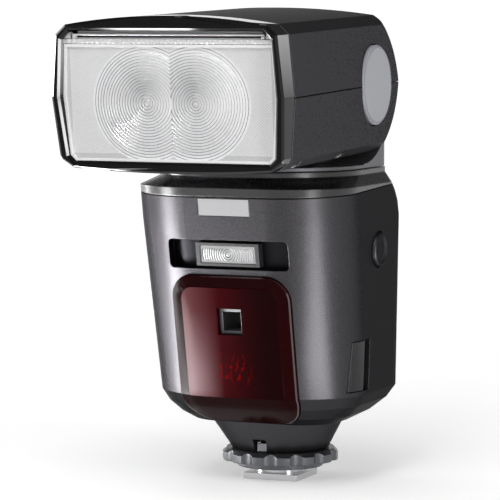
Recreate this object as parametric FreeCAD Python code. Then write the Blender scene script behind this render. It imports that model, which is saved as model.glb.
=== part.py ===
"""Speedlight flash: a tilting and swivelling flash head on a battery body with a hot shoe foot.

Millimetres. +Z is up, the light leaves along -Y, and X runs across the flash.
The origin is the centre of the foot plate's underside, the face that lies in a camera's shoe.
"""
import FreeCAD, Part
import math, os

os.makedirs("parts", exist_ok=True)

V = FreeCAD.Vector

# ---------------------------------------------------------------- driving sizes
GAP = 0.3             # parting line between two housings, and play round a moving piece
PLAY = 0.1            # play between pieces of one assembly
RUN = 0.05            # radial play of a shaft in its bore
WALL = 2.0            # housing wall
HEAD_WALL = 1.8       # head shell wall

# Foot: a standard accessory shoe foot, 18.6 mm wide
FOOT_WIDTH = 18.6
FOOT_LENGTH = 18.0
FOOT_THICK = 2.0
FOOT_CORNER = 0.8
POST_RADIUS = 7.4
INSERT_WIDTH = 12.6
INSERT_FRONT = -3.6
INSERT_BACK = 7.6
INSERT_THICK = 1.1
RAIL_ROOM = 1.9       # height left over the plate for the shoe's rails
CLAMP_RADIUS = 13.6
CLAMP_THICK = 1.7
SLEEVE_RADIUS = 10.2  # threaded sleeve of the clamp plate
LIP_RADIUS = 11.3
LIP_THICK = 0.8
CLAMP_TRAVEL = 1.5
WHEEL_RADIUS = 18.4
WHEEL_THICK = 3.7
WHEEL_BEVEL = 1.2
SCALLOPS = 14
SCALLOP_RADIUS = 3.2
SCALLOP_DEPTH = 0.9
LOCK_PIN_RADIUS = 1.05
LOCK_PIN_Y = -5.3
LOCK_PIN_LIFT = 0.1    # tip height over the foot's underside when withdrawn
CONTACT_ROOM = 3.0    # how far each contact goes up above the insert
CONTACTS = [(0.0, 0.0, 1.6), (-4.4, -1.4, 0.9), (4.4, -1.4, 0.9), (-4.4, 4.8, 0.9), (4.4, 4.8, 0.9)]

# Neck: grows from a round base over the wheel into the flat bottom of the body
NECK_BASE_RADIUS = 15.4
NECK_TOP_HALF = 21.2
NECK_TOP_FRONT = -20.4
NECK_TOP_BACK = 10.4
NECK_TOP_FRONT_CORNER = 17.0
NECK_TOP_BACK_CORNER = 11.0
NECK_WALL = 2.2
NECK_SCREW_BITE = 3.5 # length of a neck screw in its boss
FLANGE_RADIUS = 12.3
FLANGE_THICK = 1.6
NOTCH_HEIGHT = 4.1
FOOT_SCREW_RADIUS = 1.0
FOOT_SCREW_CIRCLE = 9.8
SCREW_HEAD = 1.9      # screw head radius
SCREW_HEAD_THICK = 1.0
TAB_WIDTH = 3.2
TAB_HEIGHT = 2.6

# Body: a tapering box, its front leaning forward towards the top
BODY_BOTTOM = 20.0
BODY_BREAK = 29.5     # where the walls turn in to the underside
BODY_SHOULDER = 84.0  # where the back starts to round over
BREAK_HALF = 33.6
TOP_HALF = 35.3
BREAK_FRONT = -34.0
FRONT_LEAN = 0.19     # forward per millimetre of height
BREAK_BACK = 18.8
SHOULDER_BACK = 16.7
FRONT_CORNER = 22.0
BACK_CORNER = 5.0
# Underside sections: drop below the break, inset at the side, front and back
UNDER_STEPS = [(9.5, 9.6, 11.6, 7.6), (7.1, 5.4, 7.2, 4.0), (3.7, 2.0, 2.8, 1.2)]
# Sections over the shoulder: rise, inset at the back, more corner radius
ROUND_STEPS = [(4.5, 0.5, 1.0), (7.5, 1.4, 2.5), (10.6, 2.5, 5.0)]
SPLIT_Y = 12.6        # front housing ahead, rear housing behind
PARTING_FRONT = 91.6  # height of the groove under the top cap at the front
PARTING_RISE = 2.4    # its slope in degrees, rising to the back

# Top cap and the flat ring on which the head turns
RING_BASE = 97.6
RING_TOP = 99.2
RING_HALF = 32.0
RING_FRONT = -42.2
RING_BACK = 13.8
RING_FRONT_CORNER = 30.0
RING_BACK_CORNER = 6.0
SWIVEL_Y = -9.0
SWIVEL_TUBE_RADIUS = 9.0
SWIVEL_BORE_RADIUS = 6.4
SWIVEL_WEB = 2.6
SWIVEL_CLIP_RADIUS = 12.5
SWIVEL_CLIP_THICK = 1.6

# Head
TILT_Z = 125.3        # tilt axle height
NOD = 1.7             # degrees, nose down at rest
SEAM = 0.3            # gap between the head's two shells
HEAD_FRONT = -78.0    # shells end here, the bezel begins
HEAD_HALF = 37.0
HEAD_APEX = 23.8
HEAD_TOP_EDGE = (HEAD_HALF - 5.0, 21.2)
HEAD_SHOULDER = (HEAD_HALF - 1.7, 18.2)
HEAD_LOW_SHOULDER = (HEAD_HALF - 1.3, 18.3)
HEAD_LOW_EDGE = (HEAD_HALF - 5.4, 21.1)
HEAD_LOW_APEX = 22.3
HEAD_REAR_HALF = HEAD_HALF - 1.7
HEAD_REAR_CORNER = 4.0
SADDLE_GAP = 0.6
SADDLE_TOP = 107.3
FRONT_SHELF = 100.6   # top of the swivel block ahead of the axle
POCKET_FLOOR = 19.1   # clearance pocket under the head, below the axle
POCKET_HALF = HEAD_HALF - 7.0
POCKET_FRONT = -50.0
DRUM_HALF = 13.0
DRUM_RADIUS = 21.0
DRUM_WALL = 2.2
WEB_ANGLE = 20.0      # the drum's foot, degrees each side of straight down
TILT_DOWN = 5.3       # degrees below the rest pose
TILT_UP = 90.0
PLATE_THICK = 1.5
BUSH_RADIUS = 14.2
BUSH_THICK = 1.6
BUSH_X = HEAD_HALF - 6.3
AXLE_RADIUS = 2.5
AXLE_HALF = BUSH_X - 1.3
BUTTON_RADIUS = 12.3
BUTTON_THICK = 2.4
BUTTON_TRAVEL = 1.2
BUTTON_STEM = 3.4
BUTTON_BACK = HEAD_HALF - 3.2
BUTTON_BEVEL = 0.5
PLATE_GAP = 0.8       # between drum slot and tilt plate
HEAD_SCREW_X = HEAD_HALF - 4.6
HEAD_SCREWS = [-68.0, -32.0]
HEAD_SCREW_TOP = 12.0
HEAD_SCREW_SEAT = 14.0
HEAD_SCREW_HEAD = 1.8
HEAD_BOSS = 2.6

# Bezel, lens and pull-out panels
BEZEL_DEPTH = 8.7
LEDGE = 1.4           # ledge behind the lens
RAKE_UP = 2.0         # degrees its front leans forward above the middle
RAKE_LOW = 8.0        # degrees its front falls back below the middle
LENS_RAKE = 3.5
WINDOW_HALF = HEAD_HALF - 2.6
WINDOW_TOP_EDGE = (HEAD_HALF - 6.0, 19.5)
WINDOW_SHOULDER = (HEAD_HALF - 3.6, 16.8)
WINDOW_LOW_SHOULDER = (HEAD_HALF - 4.1, 17.4)
WINDOW_LOW_EDGE = (HEAD_HALF - 5.8, 19.1)
LENS_SET_BACK = 3.4
LENS_THICK = 1.8
LENS_TOP = 15.4
PANEL_HALF = WINDOW_HALF - 5.0
CARD_THICK = 0.9
DIFFUSER_THICK = 1.4
CARD_Z = 18.3         # underside of the bounce card above the axle
DIFFUSER_Z = 15.9
PANEL_LENGTH = 44.0
GUIDE_WALL = 1.0
GUIDE_LEDGE = 0.4
GUIDE_LIP = 1.2
GUIDE_BACK = -40.0
PANEL_SET_BACK = 3.0

# Zoom carriage
REFLECTOR_HALF = HEAD_HALF - 10.0
REFLECTOR_HEIGHT = 11.6
REFLECTOR_DEPTH = 16.0
REFLECTOR_WALL = 0.8
REFLECTOR_FRONT = -70.0
CARRIAGE_THICK = 2.0
TUBE_BACK = 5.2       # tube axis ahead of the reflector's back
CARRIAGE_LUG = 1.9
TUBE_RADIUS = 2.2
ROD_RADIUS = 1.25
ROD_X = 24.0
ROD_Z = -14.2
FRAME_FRONT = -72.0
FRAME_BACK = -36.0
FRAME_SHEET = 0.8
SCREW_X = 16.0
LEAD_RADIUS = 1.25
MOTOR_RADIUS = 4.0
MOTOR_LENGTH = 7.0
MOTOR_RISE = 2.2      # motor axis over the lead screw's
COIL_Z = 4.0

# Front of the body
AF_HALF = 19.6
AF_BOTTOM = 20.6
AF_LOW_CORNER = 8.5
AF_PROUD = 0.6
AF_REACH = -18.0      # how far back the pane runs under the body
AF_TOP = 67.6
AF_CORNER = 7.5
AF_BORDER = 3.6
AF_PANE = 1.4
SENSOR_HALF = 3.9
SENSOR_FRAME = 0.9
SENSOR_THICK = 2.0
LAMP_X = 4.6
LAMP_Z = 39.6
LAMP_RADIUS = 1.9
LAMP_FRONT = -31.0
SENSOR_Z = 53.4
SUB_Z = 74.1
SUB_HALF = 19.8
SUB_HEIGHT = 9.0
SUB_DEPTH = 3.6
SUB_CORNER = 1.6
FRAME_HALF = 10.4
FRAME_HEIGHT = 7.2
SUB_LENS_HALF = 9.1
SUB_LENS_HEIGHT = 5.4
SUB_FRAME_SET = 0.4
SUB_LENS_SET = 0.9
SUB_LENS_THICK = 1.6
SUB_TUBE_RADIUS = 1.3
TROUGH_DEPTH = 5.0
LABEL_HALF = 8.3
LABEL_HEIGHT = 5.1
LABEL_Z = 88.7
LABEL_THICK = 0.3

# Sides
SOCKET_Y = -4.4
SOCKET_Z = 74.1
SOCKET_CAP_RADIUS = 5.45
SOCKET_CAP_THICK = 1.6
SOCKET_CAP_PROUD = 0.2
SOCKET_CAP_STEM = 2.4
SOCKET_DEPTH = 9.0
PORT_FRONT = -22.3
PORT_BACK = -9.6
PORT_FLAP_BACK = -14.2
PORT_BOTTOM = 30.8
PORT_TOP = 46.8
PORT_THICK = 1.4
PORT_DEPTH = 2.0
USB_Y = -18.0
USB_HALF = 2.4
USB_BOTTOM = 34.8
USB_TOP = 42.8
USB_DEEP = 4.4
USB_RIM = 0.7
DOOR_FRONT = -20.5
DOOR_BACK = 10.4
DOOR_THICK = 1.6
BARREL_PIN = 0.45     # radius of the pins at the ends of both hinge barrels
BARREL_PIN_LENGTH = 1.5

# Inside the body
DECK_Z = 30.2         # shelf that carries the battery cradle
DECK_THICK = 1.4
DECK_FRONT = -21.6
CELL_RADIUS = 7.1     # AA cell
CELL_LENGTH = 50.0
CELL_NUB_RADIUS = 2.6
CELL_NUB = 1.2
CELL_PITCH = 14.5
CRADLE_WALL = 1.0
CRADLE_X = -29.6      # its open end, behind the door
CRADLE_BACK = 10.0
CONTACT_SPRING = 2.0
CAPACITOR_RADIUS = 10.6
CAPACITOR_LENGTH = 44.0
CAPACITOR_X = -2.0
CAPACITOR_Y = -9.0
SCREW_RADIUS = 1.1
BOSS_RADIUS = 2.6
BOSS_LENGTH = 7.0     # of the front housing's screw bosses
BOSS_WEB_FROM = 25    # bosses further out than this are webbed to the side wall
SCREW_SEAT = 14.2     # y of the seat under each housing screw's head
HOUSING_SCREWS = [(-31.0, 68.5), (31.0, 68.5), (-30.6, 87.0), (30.6, 87.0), (-19.0, 24.3), (19.0, 24.3)]
NECK_SCREWS = [(-15.6, -6.0), (15.6, -6.0), (-14.0, 6.0), (14.0, 6.0)]
FRONT_BOARD_Y = -24.6
BOARD_THICK = 1.6

# Back of the body
PANEL_BULGE = 4.0     # how far the control panel stands out of the back
REAR_PANEL_HALF = 28.0
REAR_PANEL_BOTTOM = 31.0
REAR_PANEL_TOP = 82.0
REAR_PANEL_CORNER = 6.0
GLASS_HALF = 24.5
GLASS_BOTTOM = 45.0
GLASS_TOP = 79.0
GLASS_THICK = 1.2
KEY_RADIUS = 4.2
KEY_STEM = 2.0
KEY_POCKET = 2.2
PANEL_BEVEL = 1.6
KEY_X = 15.0
KEY_Z = 38.0
KEY_TRAVEL = 0.7
KEY_PROUD = 0.9

# ---------------------------------------------------------------- derived levels
CLAMP_BOTTOM = FOOT_THICK + RAIL_ROOM
CLAMP_TOP = CLAMP_BOTTOM + CLAMP_THICK
WHEEL_BOTTOM = CLAMP_TOP + GAP
WHEEL_TOP = WHEEL_BOTTOM + WHEEL_THICK
NECK_BOTTOM = WHEEL_TOP + GAP
TAB_TOP = NECK_BOTTOM + TAB_HEIGHT
WEB_BOTTOM = TAB_TOP + GAP
WEB_TOP = WEB_BOTTOM + NECK_WALL
FLANGE_TOP = WEB_TOP + FLANGE_THICK
FLOOR = BODY_BOTTOM + WALL
BLOCK_BOTTOM = RING_TOP + GAP
BEZEL_FRONT = HEAD_FRONT - BEZEL_DEPTH
RING_UNDER = RING_TOP - SWIVEL_WEB
PIVOT = V(0, SWIVEL_Y, TILT_Z)
SADDLE_RADIUS = HEAD_APEX + SADDLE_GAP
POCKET_INNER = POCKET_FLOOR - HEAD_WALL
DECK_TOP = DECK_Z + DECK_THICK
CELL_LOW = DECK_TOP + CRADLE_WALL + PLAY + CELL_RADIUS
CELL_BACK = CRADLE_BACK - CRADLE_WALL - PLAY - CELL_RADIUS
CRADLE_TOP = CELL_LOW + CELL_PITCH + CELL_RADIUS + PLAY + CRADLE_WALL
CRADLE_FRONT = CELL_BACK - CELL_PITCH - CELL_RADIUS - PLAY - CRADLE_WALL
CELL_START = CRADLE_X + CONTACT_SPRING
CRADLE_END = CELL_START + CELL_LENGTH + CONTACT_SPRING + CRADLE_WALL
DOOR_BOTTOM = DECK_TOP
DOOR_TOP = CRADLE_TOP
SIDE_LEAN = (TOP_HALF - BREAK_HALF) / (BODY_SHOULDER - BODY_BREAK)


# ---------------------------------------------------------------- helpers
def save(name, *solids):
    """Writes one named piece, a single solid or a group of separate ones."""
    shape = solids[0] if len(solids) == 1 else Part.makeCompound(list(solids))
    print(f"{name:22s} solids {len(shape.Solids)}  volume {shape.Volume:9.1f}  valid {shape.isValid()}")
    shape.exportStep(f"parts/{name}.step")


def box(x0, x1, y0, y1, z0, z1):
    return Part.makeBox(x1 - x0, y1 - y0, z1 - z0, V(x0, y0, z0))


def rod_x(radius, x0, x1, y, z):
    return Part.makeCylinder(radius, x1 - x0, V(x0, y, z), V(1, 0, 0))


def rod_y(radius, y0, y1, x, z):
    return Part.makeCylinder(radius, y1 - y0, V(x, y0, z), V(0, 1, 0))


def rod_z(radius, z0, z1, x=0.0, y=0.0):
    return Part.makeCylinder(radius, z1 - z0, V(x, y, z0), V(0, 0, 1))


def fused(*solids):
    return solids[0].multiFuse(list(solids[1:])).removeSplitter()


def rounded(x_half, z0, z1, corner, y0, y1, x=0.0):
    """Rounded rectangle in X and Z, extruded along Y."""
    solid = box(x - x_half, x + x_half, y0, y1, z0, z1)
    edges = [e for e in solid.Edges if abs(e.Vertexes[0].Y - e.Vertexes[-1].Y) > 1e-6]
    return solid.makeFillet(corner, edges)


def section(z, half, front, back, front_corner, back_corner):
    """Closed outline at height z: flat front and back, straight sides, round corners."""
    k = math.sqrt(0.5)
    f, b = front_corner, back_corner
    fx, bx = half - f, half - b

    def arc(start, mid, end):
        return Part.Arc(V(*start, z), V(*mid, z), V(*end, z)).toShape()

    def line(start, end):
        return Part.LineSegment(V(*start, z), V(*end, z)).toShape()

    return Part.Wire([
        line((-fx, front), (fx, front)),
        arc((fx, front), (fx + f * k, front + f - f * k), (half, front + f)),
        line((half, front + f), (half, back - b)),
        arc((half, back - b), (bx + b * k, back - b + b * k), (bx, back)),
        line((bx, back), (-bx, back)),
        arc((-bx, back), (-bx - b * k, back - b + b * k), (-half, back - b)),
        line((-half, back - b), (-half, front + f)),
        arc((-half, front + f), (-fx - f * k, front + f - f * k), (-fx, front)),
    ])


def nod(shape):
    """Turns a head piece from its level drawing position to its rest pose."""
    turned = shape.copy()
    turned.rotate(PIVOT, V(1, 0, 0), NOD)
    return turned


# ---------------------------------------------------------------- body envelope
def envelope(inset=0.0, top=RING_TOP):
    """The body with its cap and ring, every wall moved inwards by the inset."""
    def front_at(z):
        return BREAK_FRONT - FRONT_LEAN * (z - BODY_BREAK)

    outlines = []
    for drop, side, front, back in UNDER_STEPS:
        z = BODY_BREAK - drop
        z = z + inset if drop == UNDER_STEPS[0][0] else z
        corner = FRONT_CORNER - side
        rear_corner = BACK_CORNER + side
        outlines.append((z, BREAK_HALF - side, BREAK_FRONT + front, BREAK_BACK - back, corner, rear_corner))
    outlines.append((BODY_BREAK, BREAK_HALF, BREAK_FRONT, BREAK_BACK, FRONT_CORNER, BACK_CORNER))
    z = BODY_SHOULDER
    outlines.append((z, TOP_HALF, front_at(z), SHOULDER_BACK, FRONT_CORNER, BACK_CORNER))
    for rise, back, corner in ROUND_STEPS:
        z = BODY_SHOULDER + rise
        outlines.append((z, TOP_HALF, front_at(z), SHOULDER_BACK - back, FRONT_CORNER, BACK_CORNER + corner))
    outlines.append((RING_BASE, RING_HALF, RING_FRONT, RING_BACK, RING_FRONT_CORNER, RING_BACK_CORNER))
    if top > RING_BASE:
        outlines.append((top, RING_HALF, RING_FRONT, RING_BACK, RING_FRONT_CORNER, RING_BACK_CORNER))
    wires = []
    for z, half, front, back, front_corner, back_corner in outlines:
        fc = front_corner - inset
        bc = max(back_corner - inset, 0.5)
        wires.append(section(z, half - inset, front + inset, back - inset, fc, bc))
    return Part.makeLoft(wires, True, True)


def above_parting(lift=0.0):
    """Everything above the groove between housings and top cap."""
    block = box(-60, 60, -60, 60, 0, 40)
    block.translate(V(0, 0, PARTING_FRONT + lift))
    front = BREAK_FRONT - FRONT_LEAN * (PARTING_FRONT - BODY_BREAK)
    block.rotate(V(0, front, PARTING_FRONT + lift), V(1, 0, 0), PARTING_RISE)
    return block


OUTER = envelope()
INNER = envelope(WALL, RING_UNDER)


def skin(depth, proud=0.0):
    """A layer of the body's wall, from the given depth up to or past its surface."""
    outside = OUTER if proud == 0.0 else envelope(-proud)
    return outside.cut(envelope(depth, RING_UNDER))


def side_half(z):
    """Half-width of the body's side at a height between the break and the shoulder."""
    return BREAK_HALF + SIDE_LEAN * (z - BODY_BREAK)


def corner_x(y, z, depth):
    """X of the body's side or front corner, the given depth below its surface."""
    front = BREAK_FRONT - FRONT_LEAN * (z - BODY_BREAK)
    back = max(front + FRONT_CORNER - y, 0.0)
    radius = FRONT_CORNER - depth
    return side_half(z) - FRONT_CORNER + math.sqrt(radius * radius - back * back)


# ---------------------------------------------------------------- foot and neck
def foot():
    """Steel plate and post, black contact insert and the sprung contacts' tips."""
    half_w, half_l = FOOT_WIDTH / 2, FOOT_LENGTH / 2
    plate = box(-half_w, half_w, -half_l, half_l, 0, FOOT_THICK)
    upright = [e for e in plate.Edges if abs(e.Vertexes[0].Z - e.Vertexes[-1].Z) > 1e-6]
    plate = plate.makeFillet(FOOT_CORNER, upright)
    post = rod_z(POST_RADIUS, FOOT_THICK / 2, FLANGE_TOP)
    flange = rod_z(FLANGE_RADIUS, WEB_TOP, FLANGE_TOP)
    base = fused(plate, post, flange)
    half_i = INSERT_WIDTH / 2
    base = base.cut(box(-half_i, half_i, INSERT_FRONT, INSERT_BACK, 0, INSERT_THICK))
    pin_hole = rod_z(LOCK_PIN_RADIUS + RUN, 0, WEB_BOTTOM, 0, LOCK_PIN_Y)
    slot_half = TAB_WIDTH / 2 + PLAY
    slot_bottom = NECK_BOTTOM - CLAMP_TRAVEL - GAP
    slot_back = LOCK_PIN_Y + LOCK_PIN_RADIUS + PLAY
    slot = box(-slot_half, slot_half, -POST_RADIUS - 1, slot_back, slot_bottom, WEB_BOTTOM)
    base = base.cut(pin_hole).cut(slot)
    insert = box(-half_i + PLAY, half_i - PLAY, INSERT_FRONT + PLAY, INSERT_BACK - PLAY, 0, INSERT_THICK)
    pins = []
    for x, y, radius in CONTACTS:
        hole = rod_z(radius + RUN, 0, INSERT_THICK + CONTACT_ROOM, x, y)
        insert = insert.cut(hole)
        base = base.cut(hole)
        pins.append(rod_z(radius, 0, INSERT_THICK + CONTACT_ROOM - PLAY, x, y))
    screws = []
    for turn in range(4):
        angle = math.radians(45 + 90 * turn)
        x, y = FOOT_SCREW_CIRCLE * math.cos(angle), FOOT_SCREW_CIRCLE * math.sin(angle)
        base = base.cut(rod_z(FOOT_SCREW_RADIUS + RUN, WEB_TOP - 1, FLANGE_TOP + 1, x, y))
        shank = rod_z(FOOT_SCREW_RADIUS, WEB_BOTTOM + PLAY, FLANGE_TOP, x, y)
        screws.append(fused(shank, rod_z(SCREW_HEAD, FLANGE_TOP, FLANGE_TOP + SCREW_HEAD_THICK, x, y)))
    save("foot_plate", base)
    save("contact_insert", insert)
    save("contact_pins", *pins)
    save("foot_screws", *screws)


def clamp():
    """The plate that grips the shoe, the ridged wheel that drives it and the locking pin."""
    plate = rod_z(CLAMP_RADIUS, CLAMP_BOTTOM, CLAMP_TOP)
    sleeve = rod_z(SLEEVE_RADIUS, CLAMP_TOP, WHEEL_TOP - GAP)
    lip = rod_z(LIP_RADIUS, WHEEL_TOP - GAP - LIP_THICK, WHEEL_TOP - GAP)
    plate = fused(plate, sleeve, lip).cut(rod_z(POST_RADIUS + RUN, CLAMP_BOTTOM - 1, WHEEL_TOP + 1))
    plate = plate.cut(rod_z(LOCK_PIN_RADIUS + PLAY, CLAMP_BOTTOM - 1, WHEEL_TOP + 1, 0, LOCK_PIN_Y))
    save("clamp_plate", plate)

    wheel = rod_z(WHEEL_RADIUS, WHEEL_BOTTOM, WHEEL_TOP)
    rims = [e for e in wheel.Edges if e.BoundBox.ZLength < 1e-6]
    top_rim = [e for e in rims if abs(e.BoundBox.ZMax - WHEEL_TOP) < 1e-6]
    wheel = wheel.makeChamfer(WHEEL_BEVEL, top_rim)
    reach = WHEEL_RADIUS + SCALLOP_RADIUS - SCALLOP_DEPTH
    for step in range(SCALLOPS):
        angle = math.radians(360.0 * (step + 0.5) / SCALLOPS)
        x, y = reach * math.sin(angle), -reach * math.cos(angle)
        wheel = wheel.cut(rod_z(SCALLOP_RADIUS, WHEEL_BOTTOM - 1, WHEEL_TOP + 1, x, y))
    wheel = wheel.cut(rod_z(SLEEVE_RADIUS + RUN, WHEEL_BOTTOM - 1, WHEEL_TOP + 1))
    seat = WHEEL_TOP - GAP - LIP_THICK - PLAY
    wheel = wheel.cut(rod_z(LIP_RADIUS + GAP, seat, WHEEL_TOP + 1))
    save("locking_wheel", wheel)

    bar_back = LOCK_PIN_Y + LOCK_PIN_RADIUS
    bar = box(-TAB_WIDTH / 2, TAB_WIDTH / 2, -NECK_BASE_RADIUS + GAP, bar_back, NECK_BOTTOM + PLAY, TAB_TOP)
    pin = rod_z(LOCK_PIN_RADIUS, LOCK_PIN_LIFT, TAB_TOP, 0, LOCK_PIN_Y)
    save("locking_pin", fused(bar, pin))


def neck():
    """Hollow plastic neck between the foot and the body, screwed to the body from above."""
    def cone(inset, low, high):
        base, corner = NECK_BASE_RADIUS - inset, NECK_BASE_RADIUS - inset - 0.05
        lower = section(low, base, -base, base, corner, corner)
        half, front, back = NECK_TOP_HALF - inset, NECK_TOP_FRONT + inset, NECK_TOP_BACK - inset
        fc, bc = NECK_TOP_FRONT_CORNER - inset, NECK_TOP_BACK_CORNER - inset
        upper = section(high, half, front, back, fc, bc)
        return Part.makeLoft([lower, upper], True, True)

    outside = cone(0, NECK_BOTTOM, BODY_BOTTOM)
    body = outside.cut(cone(NECK_WALL, NECK_BOTTOM, BODY_BOTTOM))
    web = outside.common(box(-40, 40, -40, 40, WEB_BOTTOM, WEB_TOP))
    body = body.fuse(web.cut(rod_z(POST_RADIUS + PLAY, WEB_BOTTOM - 1, WEB_TOP + 1)))
    for x, y in NECK_SCREWS:
        boss = rod_z(BOSS_RADIUS, WEB_TOP, BODY_BOTTOM, x, y).common(outside)
        body = body.fuse(boss)
    body = body.cut(rod_z(FLANGE_RADIUS + PLAY, WEB_TOP, FLANGE_TOP + PLAY))
    notch_half = TAB_WIDTH / 2 + 2 * GAP
    notch_top = NECK_BOTTOM + NOTCH_HEIGHT
    body = body.cut(box(-notch_half, notch_half, -NECK_TOP_HALF - 1, -NECK_BASE_RADIUS + NECK_WALL + 1,
                        NECK_BOTTOM - 1, notch_top))
    for x, y in NECK_SCREWS:
        body = body.cut(rod_z(SCREW_RADIUS + RUN, WEB_TOP + 1, BODY_BOTTOM + 1, x, y))
    for turn in range(4):
        angle = math.radians(45 + 90 * turn)
        x, y = FOOT_SCREW_CIRCLE * math.cos(angle), FOOT_SCREW_CIRCLE * math.sin(angle)
        body = body.cut(rod_z(FOOT_SCREW_RADIUS + RUN, WEB_BOTTOM, WEB_TOP + 1, x, y))
    save("foot_neck", body.removeSplitter())


# ---------------------------------------------------------------- body
def hinge_rod(x, y, z0, z1, side, radius):
    """Rod along the body's leaning side wall."""
    lean = side * SIDE_LEAN
    length = (z1 - z0) * math.sqrt(1 + lean * lean)
    return Part.makeCylinder(radius, length, V(x, y, z0), V(lean, 0, 1))


def door_axis():
    y = DOOR_BACK - DOOR_THICK / 2
    return -(side_half(DOOR_BOTTOM) - DOOR_THICK / 2), y


def flap_rod(low, high, radius):
    """Rod along the port flap's hinge line, just under the curved surface."""
    y = PORT_FRONT + PORT_THICK
    depth = PORT_THICK / 2 + PLAY
    x_low, x_high = corner_x(y, PORT_BOTTOM, depth), corner_x(y, PORT_TOP, depth)
    lean = (x_high - x_low) / (PORT_TOP - PORT_BOTTOM)
    length = (high - low) * math.sqrt(1 + lean * lean)
    return Part.makeCylinder(radius, length, V(x_low + lean * (low - PORT_BOTTOM), y, low), V(lean, 0, 1))


def af_outline(grow, y0, y1):
    tall = rounded(AF_HALF + grow, BODY_BOTTOM - 20, AF_TOP + grow, AF_CORNER + grow, y0, y1)
    tip = rounded(AF_HALF + grow, AF_BOTTOM - grow, AF_TOP + 20, AF_LOW_CORNER + grow, y0, y1)
    return tall.common(tip)


def pockets():
    """Every hollow sunk in the housings: its shape, the shape of the wall round it, its depth."""
    low, high = SUB_Z - SUB_HEIGHT / 2, SUB_Z + SUB_HEIGHT / 2
    slot = rounded(SUB_HALF, low, high, SUB_CORNER, -60, -30)
    slot_wall = box(-SUB_HALF - WALL, SUB_HALF + WALL, -60, -30, low - WALL, high + WALL)
    pane = af_outline(PLAY, -60, AF_REACH)
    pane_wall = box(-AF_HALF - WALL, AF_HALF + WALL, -60, AF_REACH + WALL, BODY_BOTTOM - 1, AF_TOP + WALL)
    port = box(20, 60, PORT_FRONT, PORT_BACK, PORT_BOTTOM, PORT_TOP)
    port_wall = box(20, 60, PORT_FRONT - WALL, PORT_BACK + WALL, PORT_BOTTOM - WALL, PORT_TOP + WALL)
    plug = rod_x(SOCKET_CAP_RADIUS + GAP, 20, 60, SOCKET_Y, SOCKET_Z)
    plug_wall = rod_x(SOCKET_CAP_RADIUS + WALL, 20, 60, SOCKET_Y, SOCKET_Z)
    half, rise = LABEL_HALF + PLAY, LABEL_HEIGHT / 2 + PLAY
    plate = box(-half, half, -60, -30, LABEL_Z - rise, LABEL_Z + rise)
    return [(slot, slot_wall, SUB_DEPTH), (pane, pane_wall, AF_PANE), (port, port_wall, PORT_DEPTH),
            (plug, plug_wall, SOCKET_CAP_THICK), (plate, plate, LABEL_THICK)]


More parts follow.
